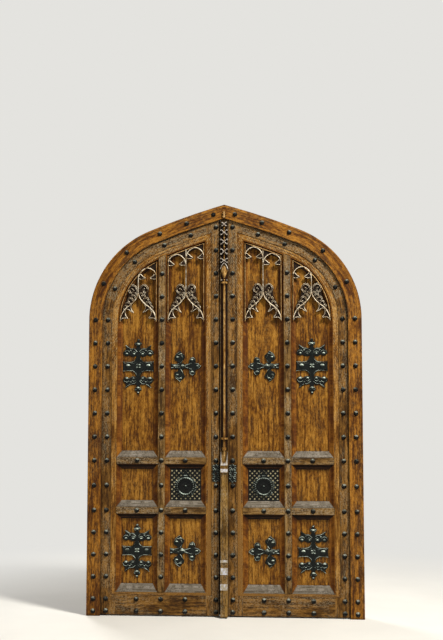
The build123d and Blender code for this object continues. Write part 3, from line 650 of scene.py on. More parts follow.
# Keeping a piece
def keepPiece(bm, name, materials, body, replaced=(), smoothAngle=None, side=1):
    if side < 0:
        bmesh.ops.scale(bm, verts=bm.verts, vec=(-1, 1, 1))
    bmesh.ops.remove_doubles(bm, verts=bm.verts, dist=0.002 * mm)
    bmesh.ops.recalc_face_normals(bm, faces=bm.faces)
    mesh = bpy.data.meshes.new(name)
    bm.to_mesh(mesh)
    bm.free()
    for material in materials:
        mesh.materials.append(material)
    if smoothAngle:
        mesh.shade_smooth()
        mesh.set_sharp_from_angle(angle=math.radians(smoothAngle))
    piece = bpy.data.objects.new(name, mesh)
    bpy.context.scene.collection.objects.link(piece)
    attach(piece, body)
    if replaced:
        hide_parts(*replaced)
    return piece


def keepHanded(bm, side, title, materials, node=None, smoothAngle=None, body="leaf"):
    word = "right" if side > 0 else "left"       # pieces are shaped on the right and mirrored
    replaced = [word + "_" + node] if node else ()
    return keepPiece(bm, word + title, materials, word + "_" + body, replaced, smoothAngle, side)


def markNew(bm, known, index):
    for face in bm.faces:
        if face not in known:
            face.material_index = index


# Lines in the plane of the door, as (x, z)
def bezier(start, first, second, end, steps):
    points = []
    for index in range(steps + 1):
        t = index / steps
        weights = ((1 - t) ** 3, 3 * t * (1 - t) ** 2, 3 * t * t * (1 - t), t**3)
        row = list(zip(weights, (start, first, second, end)))
        points.append((sum(w * p[0] for w, p in row), sum(w * p[1] for w, p in row)))
    return points


def throughPoints(points, steps):
    path = []
    padded = [points[0]] + list(points) + [points[-1]]
    for index in range(len(points) - 1):
        a, b, c, d = (Vector(p) for p in padded[index:index + 4])
        for step in range(steps):
            t = step / steps
            bend = (2 * a - 5 * b + 4 * c - d) * t * t + (3 * b - a - 3 * c + d) * t**3
            path.append(tuple((2 * b + (c - a) * t + bend) / 2))
    return path + [tuple(points[-1])]


def softened(points):
    cut = []
    for here, there in zip(points, points[1:] + points[:1]):
        for share in (0.25, 0.75):
            cut.append((here[0] * (1 - share) + there[0] * share, here[1] * (1 - share) + there[1] * share))
    return cut


def pathNormals(points):
    normals = []
    for index in range(len(points)):
        before = points[max(index - 1, 0)]
        after = points[min(index + 1, len(points) - 1)]
        run = Vector((after[0] - before[0], after[1] - before[1])).normalized()
        normals.append(Vector((-run.y, run.x)))
    return normals


# Forms on a face: ribs, blades, plates and bosses
def chain(bm, places, closed):
    verts = [bm.verts.new(place) for place in places]
    pairs = list(zip(verts, verts[1:]))
    if closed:
        pairs.append((verts[-1], verts[0]))
    return verts, [bm.edges.new(pair) for pair in pairs]


def sweepSection(bm, points, widths, section):
    previous = None
    count = len(points) - 1
    for index, (point, normal) in enumerate(zip(points, pathNormals(points))):
        t = index / count * (len(widths) - 1)
        step = min(int(t), len(widths) - 2)
        width = widths[step] + (widths[step + 1] - widths[step]) * (t - step)
        places = [(point[0] + normal.x * a * width, y, point[1] + normal.y * a * width) for a, y in section]
        verts, edges = chain(bm, places, True)
        if previous:
            bmesh.ops.bridge_loops(bm, edges=previous + edges)
        if index in (0, count):
            bm.faces.new(verts)
        previous = edges


sectionShape = {"shoulder": 0.45, "bladeSide": 0.4, "bladeHollow": 0.55, "bladeCrest": 0.62}


def rib(bm, points, half, crest, back, front, ends=(1.0, 1.0)):
    shoulder = back + (front - back) * sectionShape["shoulder"]
    left = [(-half, back), (-half, shoulder), (-crest, front)]
    right = [(crest, front), (half, shoulder), (half, back)]
    sweepSection(bm, points, ends, left + right)


def leafBlade(bm, points, widths, back, front):
    crest = sectionShape["bladeCrest"]
    middle = front + (back - front) * sectionShape["bladeSide"]
    hollow = front + (back - front) * sectionShape["bladeHollow"]
    left = [(-1, back), (-1, middle), (-crest, front)]
    right = [(crest, front), (1, middle), (1, back)]
    sweepSection(bm, points, widths, left + [(0, hollow)] + right)


def plate(bm, outline, back, front, edge):
    verts = [bm.verts.new((x, back, z)) for x, z in outline]
    face = bm.faces.new(verts)
    face.normal_update()
    if face.normal.y > 0:
        face.normal_flip()
    grown = bmesh.ops.extrude_face_region(bm, geom=[face])["geom"]
    top = [item for item in grown if isinstance(item, bmesh.types.BMFace)]
    moved = [item for item in grown if isinstance(item, bmesh.types.BMVert)]
    bmesh.ops.translate(bm, verts=moved, vec=(0, front + edge - back, 0))
    for item in top:
        item.normal_update()
    bmesh.ops.inset_region(bm, faces=top, thickness=edge, depth=edge, use_even_offset=False)


def boss(bm, place, y, radius, height, rings=6, segments=10):
    made = bmesh.ops.create_uvsphere(bm, u_segments=segments, v_segments=rings, radius=1.0)["verts"]
    bmesh.ops.rotate(bm, verts=made, cent=(0, 0, 0), matrix=Matrix.Rotation(math.pi / 2, 3, "X"))
    bmesh.ops.scale(bm, verts=made, vec=(radius, height, radius))
    bmesh.ops.translate(bm, verts=made, vec=(place[0], y, place[1]))


def bossRing(bm, centre, y, shape, start=0.0, rings=6, segments=10):
    for index in range(shape["count"]):
        turn = math.radians(start) + 2 * math.pi * index / shape["count"]
        place = (centre[0] + shape["reach"] * math.cos(turn), centre[1] + shape["reach"] * math.sin(turn))
        boss(bm, place, y, shape["radius"], shape["height"], rings, segments)


def block(bm, size, place):
    made = bmesh.ops.create_cube(bm, size=1.0)["verts"]
    bmesh.ops.scale(bm, verts=made, vec=size)
    bmesh.ops.translate(bm, verts=made, vec=place)


def looseBoxes(node, gap=0.1):
    rows = sorted((v.co.z, v.co.x, v.co.y) for v in cadNodes[node].data.vertices)
    groups = [[rows[0]]]
    for row in rows[1:]:
        if row[0] - groups[-1][-1][0] > gap:
            groups.append([])
        groups[-1].append(row)
    boxes = []
    for group in groups:
        zs, xs, ys = zip(*group)
        boxes.append((Vector((min(xs), min(ys), min(zs))), Vector((max(xs), max(ys), max(zs)))))
    return boxes


# The arch line
def archHeight(x, inset):
    side = abs(x)
    haunch = arch["haunchRadius"] - inset
    crown = arch["crownRadius"] - inset
    if side > arch["haunchX"] + haunch * math.cos(arch["haunchAngle"]):
        return arch["spring"] + math.sqrt(haunch**2 - (side - arch["haunchX"]) ** 2)
    return arch["crownZ"] + math.sqrt(crown**2 - (side - arch["crownX"]) ** 2)


def archLine(inset, rightX, leftX, clearRight):
    haunch = arch["haunchRadius"] - inset
    steps, crownSteps = arch["haunchSteps"], arch["crownSteps"]
    turns = [arch["haunchAngle"] * index / steps for index in range(steps + 1)]
    places = [arch["haunchX"] + haunch * math.cos(turn) for turn in turns]
    places += [places[steps] * (1 - index / crownSteps) for index in range(1, crownSteps)]
    inside = [x for x in places if leftX + arch["mitreRoom"] < x < rightX - clearRight]
    return [(x, archHeight(x, inset)) for x in [rightX] + inside + [leftX]]


def openingLine(column, tier, margin=0.0, foot=None):
    left, right = columns[column]
    bottom, top = tiers[tier][:2]
    left, right = left + margin, right - margin
    bottom = bottom + margin if foot is None else foot
    if top is not None:
        return [(left, bottom), (right, bottom), (right, top - margin), (left, top - margin)]
    inset = arch["openingInset"] + margin
    reach = arch["halfWidth"] - inset
    cornered = right < reach - tongue * 2        # the arch meets this side in a sharp corner
    clearRight = arch["mitreRoom"] if cornered else arch["edgeRoom"]
    head = archLine(inset, min(right, reach - arch["hair"]), left, clearRight)
    return [(left, bottom), (right, bottom)] + head


# Planted mouldings and sills, swept round each panel opening
mouldingShape = {
    "side": [(0, 33), (7, 33), (8, 30.5), (11, 27), (15, 23), (20, 18), (25, 14), (27, 13.2), (27.6, 11),
             (33, 9.4), (39, 6.6), (45, 4), (45, 0)],
    "sillLip": 4.0,
    "sillFillet": 7.0,
    "stopRise": 3.0,
}


def mitred(previousNormal, nextNormal, previousInset, nextInset):
    spread = previousNormal.x * nextNormal.y - previousNormal.y * nextNormal.x
    if abs(spread) < 0.02:
        return nextNormal * min(previousInset, nextInset)
    x = (previousInset * nextNormal.y - nextInset * previousNormal.y) / spread
    y = (previousNormal.x * nextInset - nextNormal.x * previousInset) / spread
    return Vector((x, y))


def sweepRound(bm, outline, insets, heights, faceY, slots):
    grain = bm.verts.layers.float_vector.get("grain") or bm.verts.layers.float_vector.new("grain")
    count = len(outline)
    normals = []
    for here, there in zip(outline, outline[1:] + outline[:1]):
        run = Vector((there[0] - here[0], there[1] - here[1])).normalized()
        normals.append(Vector((-run.y, run.x)))
    rings = []
    along = random.Random(count).uniform(0, 9)
    for index in range(count + 1):
        corner = outline[index % count]
        before, after = (index - 1) % count, index % count
        places = []
        for step, height in enumerate(heights):
            offset = mitred(normals[before], normals[after], insets[before][step], insets[after][step])
            places.append((corner[0] + offset.x, faceY - height, corner[1] + offset.y))
        verts, edges = chain(bm, places, False)
        if index:
            along += math.dist(corner, outline[index - 1])
        for step, vert in enumerate(verts):
            vert[grain] = (insets[after][step] + heights[step], 0.0, along)
        rings.append(edges)
    for index in range(count):
        for face in bmesh.ops.bridge_loops(bm, edges=rings[index] + rings[index + 1])["faces"]:
            face.material_index = slots.get(index, 0)


def mouldingInsets(edgeCount, sill):
    side = [place * mm for place, height in mouldingShape["side"]]
    heights = [height * mm for place, height in mouldingShape["side"]]
    fillet, lip = mouldingShape["sillFillet"] * mm, mouldingShape["sillLip"] * mm
    top = heights[0]
    shares = [(top - max(h, lip)) / (top - lip) for h in heights]
    slope = [0.0] + [fillet + share * (sill - fillet) for share in shares[1:]]
    stop = [0.0] + [fillet + share * (side[-1] - fillet) for share in shares[1:]]
    return [slope, stop] + [side] * (edgeCount - 3) + [stop], heights


def makeMouldings(side):
    bm = bmesh.new()
    for column in columns:
        for tier, (bottom, top, sill) in tiers.items():
            outline = openingLine(column, tier)
            stopHeight = bottom + sill + mouldingShape["stopRise"] * mm
            outline.insert(2, (outline[1][0], stopHeight))
            outline.append((outline[0][0], stopHeight))
            insets, heights = mouldingInsets(len(outline), sill)
            slots = {0: 1} if top is None else {0: 1, 3: 2}      # the sill, and the head below a rail in a darker copy of the moulding: painted shade
            sweepRound(bm, outline, insets, heights, panelFace, slots)
    materials = [oak["mouldingSwept"], oak["sillSwept"], oak["headSwept"]]
    keepHanded(bm, side, "Mouldings", materials, "mouldings", smoothAngle=28)


borderShape = {"profile": [(0, 0), (0, 10), (1.2, 12), (45, 12), (48, 9), (48, 0)], "footShare": 25 / 48}


def makeBorder(side):
    bm = bmesh.new()
    lows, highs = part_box("right_border")
    reach = arch["halfWidth"] - arch["stileInset"]
    head = archLine(arch["stileInset"], reach - arch["hair"], lows.x, arch["edgeRoom"])
    outline = [(lows.x, lows.z), (highs.x, lows.z)] + head
    across = [place * mm for place, height in borderShape["profile"]]
    heights = [height * mm for place, height in borderShape["profile"]]
    footAcross = [place * borderShape["footShare"] for place in across]
    sweepRound(bm, outline, [footAcross] + [across] * (len(outline) - 1), heights, highs.y, {})
    keepHanded(bm, side, "Border", [oak["borderSwept"]], "border", smoothAngle=28)


# Studs with hammered, faceted heads
studShape = {
    "base": 22.5 * mm, "crown": 9.5 * mm, "height": 15 * mm, "sides": 8,
    "peak": 2.5 * mm, "wobble": 1.3 * mm, "halfSide": 22.5, "roll": 14,
}


def apexPlaces(node):
    front = low(node).y + 0.5 * mm
    found = {}
    for vert in cadNodes[node].data.vertices:
        if vert.co.y < front:
            found[(round(vert.co.x, 3), round(vert.co.z, 3))] = vert.co.copy()
    return [found[key] for key in sorted(found)]


def makeStuds(node, name, body):
    bm = bmesh.new()
    rolls = random.Random(name)
    depth = studShape["height"]
    face = high(node).y
    roll, wobble = studShape["roll"], studShape["wobble"]
    for place in apexPlaces(node):
        spun = Matrix.Rotation(math.radians(rolls.uniform(-roll, roll) + studShape["halfSide"]), 4, "Z")
        made = bmesh.ops.create_cone(
            bm, cap_ends=True, segments=studShape["sides"], radius1=studShape["base"],
            radius2=studShape["crown"], depth=depth, matrix=Matrix.Rotation(math.pi / 2, 4, "X") @ spun,
        )["verts"]
        caps = {f for v in made for f in v.link_faces if len(f.verts) > 4}
        tops = [f for f in caps if f.calc_center_median().y < 0]
        poked = bmesh.ops.poke(bm, faces=tops, offset=studShape["peak"])["verts"]
        for vert in made + poked:
            if vert.co.y < 0:
                vert.co.x += rolls.uniform(-1, 1) * wobble
                vert.co.z += rolls.uniform(-1, 1) * wobble
        bmesh.ops.translate(bm, verts=made + poked, vec=(place.x, face - depth / 2, place.z))
    keepPiece(bm, name, [iron["studIron"]], body, [node])


# Tracery in the heads of the tall panels
traceryShape = {
    "margin": 17.34 * mm,
    "half": 5.5 * mm,
    "crest": 1.7 * mm,
    "ogeeSwell": 0.5 * mm,        # how much wider the ogee is than the frame ribs
    "ogeeCrest": 0.6 * mm,
    "lightCrest": 0.4 * mm,
    "mullionSwell": 1 * mm,
    "thinHalf": 4.6 * mm,
    "thinCrest": 0.5 * mm,
    "apexRise": 246 * mm,         # of the ogee, above the springing
    "footRise": 1 * mm,
    "headRise": 78 * mm,
    "headGap": 15 * mm,
    "lightRoom": 100 * mm,
    "cut": 8 * mm,
    "webEdge": 0.4 * mm,
    "cuspWeb": 0.6,               # depth of the dark sheet of painted shadow behind each form, as a share of the relief
    "leafWeb": 0.35,
    "lightWeb": 0.3,
    "knob": {"radius": 5 * mm, "height": 4 * mm, "sink": 1 * mm},
    "ogee": [(0, 0), (0.07, -0.18), (0.23, -0.32), (0.42, -0.45), (0.64, -0.55), (0.81, -0.68),
             (0.945, -0.85), (1, -1)],
    "cusps": [
        [(0.36, -0.43), (0.41, -0.55), (0.36, -0.66), (0.275, -0.73), (0.4, -0.69), (0.52, -0.63),
         (0.66, -0.6)],
        [(0.66, -0.6), (0.73, -0.7), (0.7, -0.84), (0.59, -0.94), (0.75, -0.93), (0.9, -0.95), (1, -1.03)],
    ],
    "lightArc": [(1, 0), (0.97, 0.45), (0.6, 0.9), (0, 1.0)],
    "lightCusp": [(1.0, 0.34), (0.74, 0.2), (0.56, 0.02), (0.3, -0.17), (0.56, -0.28), (0.8, -0.3),
                  (1.0, -0.24)],
    "leaves": [
        {"path": [(0.03, -0.04), (0.07, 0.1), (0.17, 0.22), (0.32, 0.27), (0.46, 0.22), (0.52, 0.1),
                  (0.45, 0), (0.33, -0.01), (0.27, 0.08), (0.34, 0.13)], "widths": (5, 7, 8, 8, 7, 6, 4)},
        {"path": [(0.06, -0.12), (0.12, -0.03), (0.2, -0.04), (0.2, -0.11)], "widths": (5, 8, 7, 4)},
        {"path": [(0.14, -0.22), (0.22, -0.12), (0.33, -0.1), (0.38, -0.18), (0.31, -0.23)],
         "widths": (5, 8, 8, 6, 4)},
        {"path": [(0.26, -0.33), (0.36, -0.22), (0.5, -0.21), (0.56, -0.3), (0.48, -0.35)],
         "widths": (5, 8, 8, 6, 4)},
        {"path": [(0.42, -0.44), (0.54, -0.36), (0.66, -0.38), (0.69, -0.48)], "widths": (5, 8, 7, 4)},
        {"path": [(0.6, -0.54), (0.71, -0.48), (0.8, -0.56), (0.78, -0.64)], "widths": (4, 7, 6, 3)},
    ],
    # outline of the dark sheet of painted shadow behind the leaves
    "ground": [(0, -0.03), (0.01, 0.14), (0.14, 0.27), (0.44, 0.28), (0.58, 0.14), (0.54, -0.06),
               (0.6, -0.2), (0.7, -0.34), (0.82, -0.5), (0.8, -0.66), (0.64, -0.54), (0.42, -0.44),
               (0.23, -0.31), (0.07, -0.17)],
}


# A dark sheet set behind the carving where there is only shade: painted shadow.
def shadowWeb(bm, outline, back, front, share):
    known = set(bm.faces)
    plate(bm, outline, back, back + (front - back) * share, traceryShape["webEdge"])
    markNew(bm, known, 1)


def cusp(bm, outline, back, front):
    path = throughPoints(outline, 3)
    rib(bm, path, traceryShape["thinHalf"], traceryShape["thinCrest"], back, front)
    shadowWeb(bm, path, back, front, traceryShape["cuspWeb"])


def ogeeHalf(bm, middle, span, apex, rise, side, back, front):
    def at(points):
        return [(middle + side * x * span, apex + z * rise) for x, z in points]

    half = traceryShape["half"] + traceryShape["ogeeSwell"]
    crest = traceryShape["crest"] + traceryShape["ogeeCrest"]
    knob = traceryShape["knob"]
    rib(bm, throughPoints(at(traceryShape["ogee"]), 3), half, crest, back, front)
    for outline in traceryShape["cusps"]:
        cusp(bm, at(outline), back, front)
    shadowWeb(bm, softened(at(traceryShape["ground"])), back, front, traceryShape["leafWeb"])
    for leaf in traceryShape["leaves"]:
        path = throughPoints(at(leaf["path"]), 4)
        leafBlade(bm, path, [width * mm for width in leaf["widths"]], back, front)
        boss(bm, path[-1], front + knob["sink"], knob["radius"], knob["height"])


def lightHead(bm, left, right, head, back, front):
    middle, half, rise = (left + right) / 2, (right - left) / 2, traceryShape["headRise"]
    inset = arch["openingInset"] + traceryShape["margin"]
    crest = traceryShape["crest"] + traceryShape["lightCrest"]

    def at(points, side):
        return [(middle + side * x * half, head - rise + z * rise) for x, z in points]

    for side in (-1, 1):
        arc = bezier(*at(traceryShape["lightArc"], side), 10)
        rib(bm, arc, traceryShape["half"], crest, back, front)
        cusp(bm, at(traceryShape["lightCusp"], side), back, front)
        corners = [(x, archHeight(x, inset)) for x in (middle, middle + side * half)]
        shadowWeb(bm, arc + corners, back, front, traceryShape["lightWeb"])


def makeTracery(side, column):
    bm = bmesh.new()
    node = "right_tracery_" + column
    back, front = high(node).y, low(node).y
    half, crest, margin = traceryShape["half"], traceryShape["crest"], traceryShape["margin"]
    inset = arch["openingInset"] + margin
    left, right = columns[column][0] + margin, columns[column][1] - margin
    middle = (left + right) / 2
    apex = arch["spring"] + traceryShape["apexRise"]
    foot = arch["spring"] + traceryShape["footRise"]
    outline = openingLine(column, "upper", margin + half, foot - 2 * traceryShape["cut"])
    rib(bm, outline[1:] + [outline[0]], half, crest, back, front)
    markNew(bm, (), 2)
    mullion = [(middle, apex - 2 * mm), (middle, archHeight(middle, inset))]
    rib(bm, mullion, half + traceryShape["mullionSwell"], crest, back, front)
    for lowX, highX in ((left, middle), (middle, right)):
        head = archHeight((lowX + highX) / 2, inset) - traceryShape["headGap"]
        if head - traceryShape["headRise"] > apex + traceryShape["lightRoom"]:
            lightHead(bm, lowX + half, highX - half, head, back, front)
    for turn in (-1, 1):
        ogeeHalf(bm, middle, (right - left) / 2 - half, apex, apex - foot, turn, back, front)
    materials = [carved["carvedOak"], carved["carvedShadow"], carved["carvedEdge"]]
    keepHanded(bm, side, "Tracery" + column.capitalize(), materials, "tracery_" + column)


# Wrought ironwork, drawn on a unit that is half the width of a cross or the length of a strap
crossShape = {
    "height": 1.8,
    "thickness": 7 * mm,
    "edge": 2 * mm,
    "stemRise": 1 * mm,
    "bandRise": 2 * mm,
    "bossShare": 0.7,
    "rim": {"half": 3.4 * mm, "crest": 0.8 * mm, "height": 5 * mm, "ends": (1.0, 0.6)},
    "bandBoss": {"place": (0.66, 0.02), "radius": 20 * mm, "height": 12 * mm},
    "petals": {"count": 4, "reach": 15 * mm, "radius": 11 * mm, "height": 9 * mm},
    "heart": {"rise": 4 * mm, "radius": 6 * mm, "height": 10 * mm},
    "band": [(0, 0.2), (0.16, 0.27), (0.34, 0.2), (0.62, 0.27), (0.86, 0.2), (1.0, 0.3), (0.97, 0.02),
             (1.0, -0.3), (0.86, -0.2), (0.62, -0.27), (0.34, -0.2), (0.16, -0.27), (0, -0.2)],
    "stem": [(0, 0.1), (0.44, 0.22), (0.22, 0.42), (0.12, 0.62), (0.1, 0.95), (0.17, 1.12), (0.1, 1.3),
             (0.17, 1.42), (0.24, 1.5), (0.12, 1.6), (0.05, 1.68), (0.09, 1.74), (0, 1.8)],
    "spray": [(0.04, 0.98), (0.2, 1.16), (0.36, 1.2), (0.5, 1.15), (0.62, 1.28), (0.84, 1.4), (0.78, 1.14),
              (0.94, 1.02), (1.0, 0.86), (0.9, 0.7), (0.72, 0.66), (0.6, 0.76), (0.5, 0.7), (0.34, 0.62),
              (0.16, 0.68), (0.04, 0.82)],
    "bosses": [(0.28, 0.79, 0.09), (0.76, 0.8, 0.11), (0.5, 1.02, 0.06), (0, 1.42, 0.12), (0, 1.7, 0.07)],
    "rims": [[(0.12, 0.62), (0.16, 0.44), (0.34, 0.3), (0.62, 0.27), (1.0, 0.3)],
             [(0.08, 0.96), (0.24, 1.1), (0.46, 1.14)], [(0.5, 1.14), (0.7, 1.26), (0.84, 1.38)],
             [(0.58, 0.94), (0.72, 1.02), (0.9, 0.96), (0.96, 0.82)],
             [(0.14, 0.88), (0.28, 0.96), (0.42, 0.88)], [(0.05, 1.5), (0.2, 1.48), (0.1, 1.34)]],
}


def raisedRims(bm, lines, rim, front):
    for line in lines:
        rib(bm, throughPoints(line, 3), rim["half"], rim["crest"], front, front - rim["height"], rim["ends"])


def ironCross(bm, centre, half, face):
    back, front = face, face - crossShape["thickness"]
    edge, bandBoss, heart = crossShape["edge"], crossShape["bandBoss"], crossShape["heart"]
    bandFront = front - crossShape["bandRise"]
    middle = (centre.x, centre.z)

    def at(points, sideX, sideZ=1):
        return [(centre.x + sideX * x * half, centre.z + sideZ * z * half) for x, z in points]

    for sideX in (-1, 1):
        for sideZ in (-1, 1):
            plate(bm, at(crossShape["stem"], sideX, sideZ), back, front - crossShape["stemRise"], edge)
            plate(bm, at(softened(crossShape["spray"]), sideX, sideZ), back, front, edge)
            # Bosses and rims take the paler iron: painted highlight.
            known = set(bm.faces)
            for x, z, size in crossShape["bosses"]:
                place = at([(x, z)], sideX, sideZ)[0]
                boss(bm, place, front, size * half, size * half * crossShape["bossShare"])
            raisedRims(bm, [at(rim, sideX, sideZ) for rim in crossShape["rims"]], crossShape["rim"], front)
            markNew(bm, known, 1)
        plate(bm, at(crossShape["band"], sideX), back, bandFront, edge)
        known = set(bm.faces)
        boss(bm, at([bandBoss["place"]], sideX)[0], bandFront, bandBoss["radius"], bandBoss["height"])
        markNew(bm, known, 1)
    known = set(bm.faces)
    bossRing(bm, middle, bandFront, crossShape["petals"], 45)
    boss(bm, middle, front - heart["rise"], heart["radius"], heart["height"])
    markNew(bm, known, 1)


def makeCrosses(side):
    bm = bmesh.new()
    for lows, highs in looseBoxes("right_cross_ornaments"):
        ironCross(bm, (lows + highs) / 2, (highs.z - lows.z) / 2 / crossShape["height"], panelFace)
    materials = [iron["wroughtIron"], iron["highlightIron"]]
    keepHanded(bm, side, "CrossOrnaments", materials, "cross_ornaments", smoothAngle=35)


strapShape = {
    "thickness": 8 * mm,
    "edge": 2 * mm,
    "lobeRise": 0.5 * mm,
    "bossShare": 0.6,
    "rim": {"half": 3.6 * mm, "crest": 0.8 * mm, "height": 6 * mm, "ends": (1.0, 0.6)},
    "spine": {"half": 4 * mm, "crest": 1.5 * mm, "height": 5 * mm},
    "spineLine": [(0.02, 0.05), (0.2, 0.03), (0.5, 0.03), (0.7, 0.1)],
    "heart": {"place": (0.4, 0), "rise": 1 * mm, "radius": 20 * mm, "height": 12 * mm},
    "petals": {"count": 4, "reach": 18 * mm, "radius": 9 * mm, "height": 7 * mm},
    "body": [(0, 0.1), (0.12, 0.07), (0.3, 0.1), (0.5, 0.06), (0.6, 0.1), (0.72, 0.16), (0.84, 0.1),
             (0.92, 0.07), (1.0, 0), (0.92, -0.07), (0.84, -0.1), (0.72, -0.16), (0.6, -0.1), (0.5, -0.06),
             (0.3, -0.1), (0.12, -0.07), (0, -0.1)],
    "lobes": [
        [(0.3, 0.06), (0.24, 0.16), (0.12, 0.2), (0.13, 0.34), (0.22, 0.42), (0.32, 0.52), (0.38, 0.42),
         (0.48, 0.36), (0.44, 0.24), (0.36, 0.2), (0.36, 0.06)],
        [(0.6, 0.04), (0.62, 0.18), (0.7, 0.3), (0.8, 0.29), (0.83, 0.18), (0.78, 0.06)],
    ],
    "bosses": [(0.22, 0.29, 0.05), (0.34, 0.4, 0.045), (0.71, 0.2, 0.06), (0.12, 0, 0.05), (0.88, 0, 0.05)],
    "rims": [[(0.33, 0.1), (0.4, 0.22), (0.36, 0.36), (0.24, 0.4), (0.17, 0.3)],
             [(0.14, 0.22), (0.17, 0.38), (0.32, 0.5)],
             [(0.62, 0.12), (0.66, 0.26), (0.76, 0.28), (0.82, 0.18)],
             [(0.84, 0.1), (0.92, 0.07), (1.0, 0)]],
}


def strapEnd(bm, base, size, face):
    back, front = face, face - strapShape["thickness"]
    edge, spine, heart = strapShape["edge"], strapShape["spine"], strapShape["heart"]

    def at(points, sideZ=1):
        return [(base[0] - x * size, base[1] + sideZ * z * size) for x, z in points]

    plate(bm, at(strapShape["body"]), back, front, edge)
    for sideZ in (-1, 1):
        for lobe in strapShape["lobes"]:
            plate(bm, at(softened(lobe), sideZ), back, front - strapShape["lobeRise"], edge)
    # Bosses, spines and rims take the paler iron: painted highlight.
    known = set(bm.faces)
    for sideZ in (-1, 1):
        for x, z, radius in strapShape["bosses"]:
            boss(bm, at([(x, z)], sideZ)[0], front, radius * size, radius * size * strapShape["bossShare"])
        line = at(strapShape["spineLine"], sideZ)
        rib(bm, line, spine["half"], spine["crest"], front, front - spine["height"])
        raisedRims(bm, [at(rim, sideZ) for rim in strapShape["rims"]], strapShape["rim"], front)
    place = at([heart["place"]])[0]
    boss(bm, place, front - heart["rise"], heart["radius"], heart["height"])
    bossRing(bm, place, front, strapShape["petals"])
    markNew(bm, known, 1)


def makeStraps(side):
    bm = bmesh.new()
    for lows, highs in looseBoxes("right_strap_ends"):
        strapEnd(bm, (highs.x, (lows.z + highs.z) / 2), highs.x - lows.x, panelFace)
    materials = [iron["wroughtIron"], iron["highlightIron"]]
    keepHanded(bm, side, "StrapEnds", materials, "strap_ends", smoothAngle=35)


# The pierced plate behind each ring
ringShape = {
    "cells": 13,
    "spread": 0.96,
    "spot": {"radius": 8.5 * mm, "sink": 1 * mm, "rise": 3 * mm},
    "edge": 2 * mm,
    "field": 0.64,             # radius of the round field, as a share of half the plate
    "drop": 12 * mm,
    "curls": 16,
    "curl": [(0.96, -0.1), (1.1, -0.02), (1.06, 0.14), (0.94, 0.12)],       # reach and turn
    "curlRib": {"half": 3.4 * mm, "crest": 0.8 * mm, "height": 4 * mm},
    "petals": {"count": 5, "reach": 24 * mm, "radius": 15 * mm, "height": 7 * mm},
    "heart": {"rise": 3 * mm, "radius": 8 * mm, "height": 9 * mm},
}


def paleSpots(bm, middle, halfX, halfZ, centre, field, front):
    cells, spot = ringShape["cells"], ringShape["spot"]
    radius = spot["radius"]
    for row in range(cells):
        for column in range(cells):
            x = middle.x + halfX * ((column + 0.5) / cells * 2 - 1) * ringShape["spread"]
            z = middle.z + halfZ * ((row + 0.5) / cells * 2 - 1) * ringShape["spread"]
            if (row + column) % 2 == 0 and math.dist((x, z), centre) > field:
                turns = [math.radians(a) for a in range(0, 360, 90)]
                corners = [(x + radius * math.cos(a), z + radius * math.sin(a)) for a in turns]
                plate(bm, corners, front + spot["sink"], front - spot["rise"], ringShape["edge"])


def curledLeaves(bm, centre, field, front):
    values = ringShape["curlRib"]
    for index in range(ringShape["curls"]):
        turn = 2 * math.pi * index / ringShape["curls"]
        path = [(centre[0] + field * r * math.cos(turn + a), centre[1] + field * r * math.sin(turn + a))
                for r, a in ringShape["curl"]]
        rib(bm, throughPoints(path, 2), values["half"], values["crest"], front, front - values["height"])


def makeRingPlate(side):
    bm = bmesh.new()
    lows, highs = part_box("right_ring_plate")
    middle, half = (lows + highs) / 2, (highs - lows) / 2
    front, heart = lows.y, ringShape["heart"]
    corners = [(lows.x, lows.z), (highs.x, lows.z), (highs.x, highs.z), (lows.x, highs.z)]
    plate(bm, corners, highs.y, front, ringShape["edge"])
    centre = (middle.x, middle.z - ringShape["drop"])
    field = ringShape["field"] * half.x
    known = set(bm.faces)
    paleSpots(bm, middle, half.x, half.z, centre, field, front)
    markNew(bm, known, 2)
    known = set(bm.faces)
    curledLeaves(bm, centre, field, front)
    markNew(bm, known, 1)
    bossRing(bm, centre, front, ringShape["petals"], 90)
    known = set(bm.faces)
    boss(bm, centre, front - heart["rise"], heart["radius"], heart["height"])
    markNew(bm, known, 1)
    materials = [iron["piercedIron"], iron["highlightIron"], iron["creamIron"]]
    keepHanded(bm, side, "RingPlate", materials, "ring_plate", smoothAngle=30)


pullShape = {
    "sides": 12,
    "steps": 56,
    "beads": {"count": 24, "radius": 4.6 * mm, "height": 3.6 * mm},
    "beadShare": 0.8,
    "pinSides": 20,
    "pinLength": 22 * mm,
    "neckWidth": 16 * mm,
}


